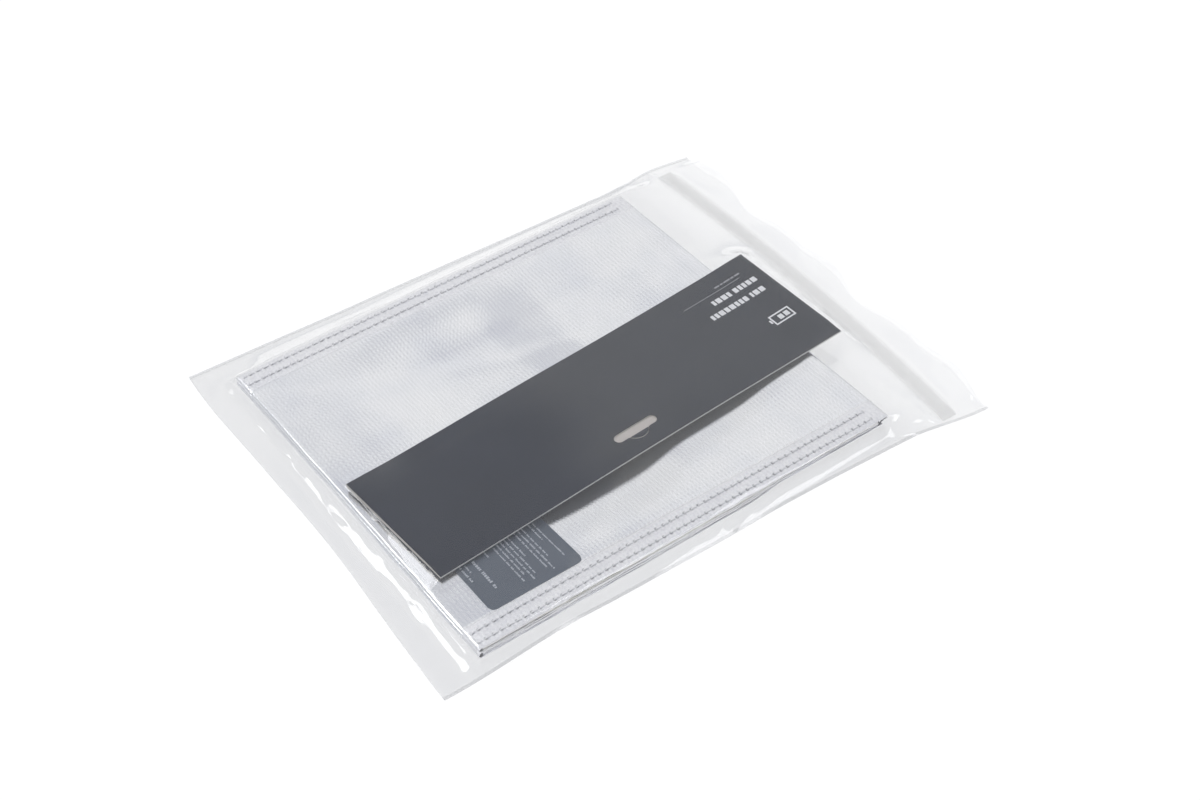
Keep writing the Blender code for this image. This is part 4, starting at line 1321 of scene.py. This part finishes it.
def drape(rows, columns):
    """Cloth simulation of the film: a sheet cut to the sleeve's flat size, held along its
    welds, its folded end and its press-seal, and let fall over the bag and the card."""
    below = support_sampler()
    film = None
    # grid coarseness, steps, bending stiffness
    for coarseness, steps, bending in ((4, 260, 0.010), (2, 160, 0.010), (1, 110, 0.012)):
        level_rows = (rows - 1) // coarseness + 1
        level_columns = (columns - 1) // coarseness + 1
        flat_x, flat_y = np.meshgrid(np.linspace(-SLEEVE_X, SEAL_EDGE, level_rows),
                                     np.linspace(-SLEEVE_Y, SLEEVE_Y, level_columns),
                                     indexing="ij")
        x, y = plan(flat_x, flat_y)
        if film is None:
            rim = np.minimum(np.minimum(flat_x + SLEEVE_X, SLEEVE_Y - np.abs(flat_y)),
                             SEAL_EDGE - flat_x)
            z = np.maximum(below(x, y) + 0.3, 11.4 * np.clip(rim / 15.0, 0, 1))
            film = np.stack([x, y, z], 2)
            film[..., 2] += 0.3 * ripple(flat_x, flat_y, 18, 901)
        else:
            film = refine(film, level_rows, level_columns)
            film[..., 2] += 0.03 * coarseness * ripple(flat_x, flat_y, 7, 911 + coarseness)
        fixed = np.zeros(flat_x.shape, bool)
        fixed[0] = fixed[-1] = True
        fixed[:, 0] = fixed[:, -1] = True
        home = np.stack([x, y, np.full_like(x, 0.42)], 2)
        home[-1, :, 2] = seal_z(flat_y[-1])
        film = settle(film, flat_x, flat_y, home, fixed, below, steps, bending)
    ease_film(film, fixed, below)
    gather_end(film, fixed)
    return film


def ease_film(film, fixed, below):
    # ease the grid's own steps along the card's edges
    for _ in range(4):
        z = film[..., 2]
        eased = np.maximum(z * 0.5 + neighbour_mean(z) * 0.5,
                           below(film[..., 0], film[..., 1]) - 0.25)
        film[..., 2] = np.where(fixed, z, eased)
    # the film lies calm over the face of the pack
    bag_at = to_local(BAG, film[..., 0], film[..., 1])
    calm = smooth((-rect_dist(*bag_at, BAG_L / 2, BAG_HALF_W) - 3) / 12.0)
    low = below(film[..., 0], film[..., 1]) - 0.15
    for _ in range(220):
        z = film[..., 2]
        film[..., 2] = np.maximum(z + (neighbour_mean(z) - z) * 0.8 * calm,
                                  np.where(calm > 0, low, -9))


def gather_end(film, fixed):
    """Past the bag's folded end the film comes down steeply, gathered in small folds, and
    then lies flat to the sleeve's edge."""
    along, across = to_local(BAG, film[..., 0], film[..., 1])
    gap = rect_dist(along, across, BAG_L / 2, BAG_HALF_W)
    end = smooth((-100 - along) / 12.0) * smooth((gap + 1.0) / 1.5)
    run = gap + 2.4 * noise(across, 0, 34.0, 951) + 0.9 * noise(across, 0, 11.0, 955)
    gather = (0.34 * np.sin(2 * math.pi * run / 6.4)
              * (0.35 + np.abs(noise(across, gap * 0.3, 17.0, 953)))
              + 0.50 * np.abs(noise(across + 1.3 * gap, gap * 0.5, 12.0, 959)))
    gather = gather * smooth(gap / 2.0) * smooth((13.0 - gap) / 5.0)
    slope = 0.56 + 0.26 * smooth((across + 20) / 110.0)
    ramp = (Z_FRONT_TOP + 0.75 - 3.2 * smooth(gap / 2.2) - slope * np.maximum(gap - 0.4, 0)
            + gather)
    flat = 0.55 + 0.20 * (1 + noise(across, gap, 15.0, 957)) * smooth((gap - 5) / 5.0)
    hug = np.maximum(ramp, flat) + 0.5 * np.exp(-np.abs(ramp - flat) / 0.8) * 0.8
    film[..., 2] = np.where(fixed, film[..., 2], film[..., 2] * (1 - end) + hug * end)


def lip_share(y):
    """1 over the middle of the mouth, 0 at the welds."""
    start = 106.5
    return 1 - smooth((np.abs(y) - start) / (SLEEVE_Y - 1.5 - start))


def front_wall():
    """Front film from the folded end to the press-seal, and the wavy lip beyond it."""
    rows, columns = FILM_GRID
    flat_line_y = np.linspace(-SLEEVE_Y, SLEEVE_Y, columns)
    flat_x, flat_y = np.meshgrid(np.linspace(-SLEEVE_X, SEAL_EDGE, rows), flat_line_y,
                                 indexing="ij")
    film = drape(rows, columns)
    lip_x, lip_y = np.meshgrid(np.linspace(SEAL_EDGE, SLEEVE_X, LIP_STEPS + 1)[1:],
                               flat_line_y, indexing="ij")
    x, y = plan(lip_x, lip_y)
    out = (lip_x - SEAL_EDGE) / (SLEEVE_X - SEAL_EDGE)
    middle = smooth((SLEEVE_Y - np.abs(lip_y) - 1.5) / 14.0)
    wave = (1.5 + 1.7 * np.sin(lip_y / 16.0 + 0.8) + 1.0 * np.sin(lip_y / 7.9 + 2.0)
            + 0.5 * ripple(lip_x, lip_y, 9, 931))
    z = seal_z(lip_y) + middle * smooth((out - 0.36) / 0.6) * np.maximum(wave, -1.2)
    film = np.concatenate([film, np.stack([x, y, np.maximum(z, 0.42)], 2)])
    rest = rest_points(np.concatenate([flat_x, lip_x]), np.concatenate([flat_y, lip_y]))
    weights = smooth((film[..., 0] - 99.0) / 29.0) * lip_share(film[..., 1])
    film[..., 2] += FILM_T / 2
    piece = sheet("sleeve_front_wall", film, FILM_T, FILM, rest, sharp=80)
    blend_by(piece, weights)
    register(piece, "clear_film", "sleeve_front_film", "sleeve_front_lip")


# --- Sleeve: the other pieces ---
def back_wall():
    flat_x, flat_y = np.meshgrid(np.linspace(-SLEEVE_X, SLEEVE_X, 103),
                                 np.linspace(-SLEEVE_Y, SLEEVE_Y, 83), indexing="ij")
    x, y = plan(flat_x, flat_y)
    mouth_wave = (0.5 * smooth((x - 140) / 14) * (1 + np.sin(y / 21.0))
                  * smooth((SLEEVE_Y - np.abs(y) - 1) / 14))
    z = 0.12 + 0.05 * (1 + ripple(x, y, 40, 501)) + mouth_wave
    piece = sheet("sleeve_back_wall", np.stack([x, y, z], 2), FILM_T, FILM,
                  rest_points(flat_x, flat_y, 50.0), sharp=80)
    register(piece, "clear_film", "sleeve_back_film", body="sleeve")


def side_weld(side, sign):
    """Crimped weld down a long side."""
    flat_x = np.linspace(-1, 1, 405) * SLEEVE_X
    x, _ = plan(flat_x, np.full_like(flat_x, sign * SLEEVE_Y))
    edge = edge_high(flat_x) if sign > 0 else edge_low(flat_x)
    insets = np.array([1.7, 1.3, 0.85, 0.4, 0.0])
    grid = np.zeros((len(x), len(insets), 3))
    for c, inset in enumerate(insets):
        crimp = 0.07 * np.cos(2 * math.pi * x / 1.5) * (0 < c < 4)
        curl = 0.25 * (1 + noise(x, 0, 38, 601 + sign)) * smooth((0.9 - inset) / 2)
        grid[:, c] = np.stack([x, edge - sign * inset, 0.30 + crimp + curl], 1)
    if sign < 0:
        grid = grid[:, ::-1]
    piece = sheet("sleeve_side_weld_" + side, grid, 0.26, WELD,
                  rest_points(x[:, None], insets[None]), sharp=80)
    register(piece, "clear_film", "sleeve_weld_" + side, body="sleeve")


def folded_end():
    line_y = np.linspace(-1, 1, 160) * (SLEEVE_Y - 0.5)
    angle = np.radians(np.linspace(-100, -260, 9))
    radius = 0.28
    end = edge_folded(line_y)
    low, high = edge_low(end), edge_high(end)
    grid = np.zeros((len(line_y), len(angle), 3))
    grid[:, :, 0] = end[:, None] + 0.1 + radius * np.cos(angle)[None]
    grid[:, :, 1] = (low + (high - low) * (line_y / SLEEVE_Y + 1) / 2)[:, None]
    grid[:, :, 2] = 0.35 + radius * np.sin(angle)[None]
    piece = sheet("sleeve_folded_end", grid, FILM_T, WELD,
                  rest_points(line_y[:, None], angle[None]), sharp=80)
    register(piece, "clear_film", "sleeve_bottom_fold", body="sleeve")


# Half the seal's section is mirrored in the other: distance from its middle line, height
SEAL_SECTION = [
    (-4.2, 0.0), (-3.4, 0.28), (-2.7, 0.02), (-1.2, 0.02), (-0.75, 0.34), (0.0, 0.42),
    (0.75, 0.34), (1.2, 0.02), (2.7, 0.02), (3.4, 0.28), (4.2, 0.0)]


def press_seal():
    """Ridge strip on the front film and claw strip on the back film."""
    line_y = np.linspace(-1, 1, 240) * 117.3
    crush = smooth((118.2 - np.abs(line_y)) / 7.0)
    offsets, heights = np.array(SEAL_SECTION).T
    x = zip_x(line_y)[:, None] + offsets[None]
    y = np.repeat(line_y[:, None], len(offsets), 1)
    thickness = 0.22 + 1.1 * heights[None] * crush[:, None]
    rest = rest_points(y, x * 3)
    ridge_z = np.repeat((seal_z(line_y) - 0.36)[:, None], len(offsets), 1)
    piece = sheet("press_seal_ridge", np.stack([x, y, ridge_z], 2), thickness, SEAL, rest,
                  sharp=50)
    blend_by(piece, lip_share(y))
    register(piece, "zip_plastic", "zip_ridge_strip")
    claw_z = np.full_like(x, 0.75)
    piece = sheet("press_seal_claws", np.stack([x, y, claw_z], 2), thickness, SEAL, rest,
                  sharp=50)
    register(piece, "zip_plastic", "zip_claw_strip", body="sleeve")


SIDES = (("left", 1), ("right", -1))        # +Y, -Y
outer_cloth()
inner_lining()
for side, sign in SIDES:
    seam_layers(side, sign)
for side, sign in SIDES:
    seam_threads(side, sign)
tapes()
header_card()
card_graphics()
slot_tabs()
label_patch()
label_marks()
front_wall()
back_wall()
for side, sign in SIDES:
    side_weld(side, sign)
folded_end()
press_seal()


# --- Floor, light and camera, in metres ---
def direction(azimuth, elevation):
    """Unit vector from the origin; angles in degrees."""
    turn, rise = math.radians(azimuth), math.radians(elevation)
    return (math.cos(turn) * math.cos(rise), math.sin(turn) * math.cos(rise), math.sin(rise))


def floor():
    mesh = bpy.data.meshes.new("studio_floor")
    bm = bmesh.new()
    bmesh.ops.create_grid(bm, x_segments=8, y_segments=8, size=6.0)
    bm.to_mesh(mesh)
    bm.free()
    piece = bpy.data.objects.new("studio_floor", mesh)
    piece.location.z = -0.0004
    graph = material_graph("floor_white")
    point = graph.scale(graph.node("TexCoord", {}, "Object"), (3.0, 3.0, 3.0))
    mottle = graph.noise(point, scale=1.0, detail=2.0)
    mesh.materials.append(graph.surface(
        Base_Color=graph.mix(mottle, (0.16, 0.16, 0.165), (0.18, 0.18, 0.18)),
        Roughness=0.9, Specular_IOR_Level=0.0, Emission_Color=(1, 1, 1),
        Emission_Strength=0.87))
    bpy.context.scene.collection.objects.link(piece)


def soft_box(name, azimuth, elevation, distance, size, power):
    """A rectangular lamp aimed at the origin."""
    towards = Vector(direction(azimuth, elevation))
    light = bpy.data.lights.new(name, "AREA")
    light.shape = "RECTANGLE"
    light.size, light.size_y = size
    light.energy = power
    lamp = bpy.data.objects.new(name, light)
    lamp.location = towards * distance
    lamp.rotation_mode = "QUATERNION"
    lamp.rotation_quaternion = towards.to_track_quat("Z", "Y")
    bpy.context.scene.collection.objects.link(lamp)


# Patches of the tent: azimuth, elevation, cosine where it starts, cosine where it is full, tone
TENT_PATCHES = [
    (55, 44, 0.68, 0.95, (1.00, 1.00, 1.00)),
    (66, 52, 0.986, 0.994, (0.70, 0.71, 0.75)),
    (49, 38, 0.989, 0.9955, (0.97, 0.97, 0.97)),
    (-20, 40, 0.86, 0.99, (0.62, 0.64, 0.70))]


def tent():
    """A white tent: brightest on the +X +Y side, facing the camera, greyer low down."""
    graph = Graph(bpy.data.worlds.new("studio"))
    background = graph.tree.nodes["Background"]
    view = graph.node("TexCoord", {}, "Generated")

    def lobe(azimuth, elevation, start, full):
        cosine = graph.node("VectorMath", {0: view, 1: direction(azimuth, elevation)}, "Value",
                            operation="DOT_PRODUCT")
        return graph.node("MapRange", {"Value": cosine, "From Min": start, "From Max": full},
                          "Result", interpolation_type="SMOOTHSTEP")

    tone = graph.mix(lobe(90, 90, -0.05, 0.75), (0.60, 0.615, 0.65), (0.80, 0.81, 0.83))
    for azimuth, elevation, start, full, colour in TENT_PATCHES:
        tone = graph.mix(lobe(azimuth, elevation, start, full), tone, colour)
    graph.put(background.inputs["Color"], tone)
    graph.put(background.inputs["Strength"], 1.07)
    bpy.context.scene.world = graph.owner


def camera():
    lens = bpy.data.cameras.new("photo_camera")
    lens.sensor_width = 36.0
    lens.lens = 58.75
    lens.clip_start, lens.clip_end = 0.05, 20
    target, distance = Vector((0.002835, -0.009243, 0.0)), 0.952437
    forward = -Vector(direction(azimuth=-123.1377, elevation=43.9406))
    roll = math.radians(-1.7371)
    level = forward.cross(Vector((0, 0, 1))).normalized()
    upright = level.cross(forward)
    right = level * math.cos(roll) + upright * math.sin(roll)
    top = -level * math.sin(roll) + upright * math.cos(roll)
    pose = Matrix([(right[i], top[i], -forward[i], 0) for i in range(3)] + [(0, 0, 0, 1)])
    pose.translation = target - forward * distance
    holder = bpy.data.objects.new("photo_camera", lens)
    holder.matrix_world = pose
    bpy.context.scene.collection.objects.link(holder)
    bpy.context.scene.camera = holder


floor()
soft_box("left_box", azimuth=134, elevation=51, distance=1.6, size=(0.5, 0.7), power=4.8)
soft_box("right_box", azimuth=-48, elevation=50, distance=1.9, size=(0.5, 0.5), power=2.2)
tent()
view_settings = bpy.context.scene.view_settings
view_settings.view_transform = "Standard"
view_settings.look = "None"
view_settings.exposure = 0.0
view_settings.gamma = 1.0
camera()
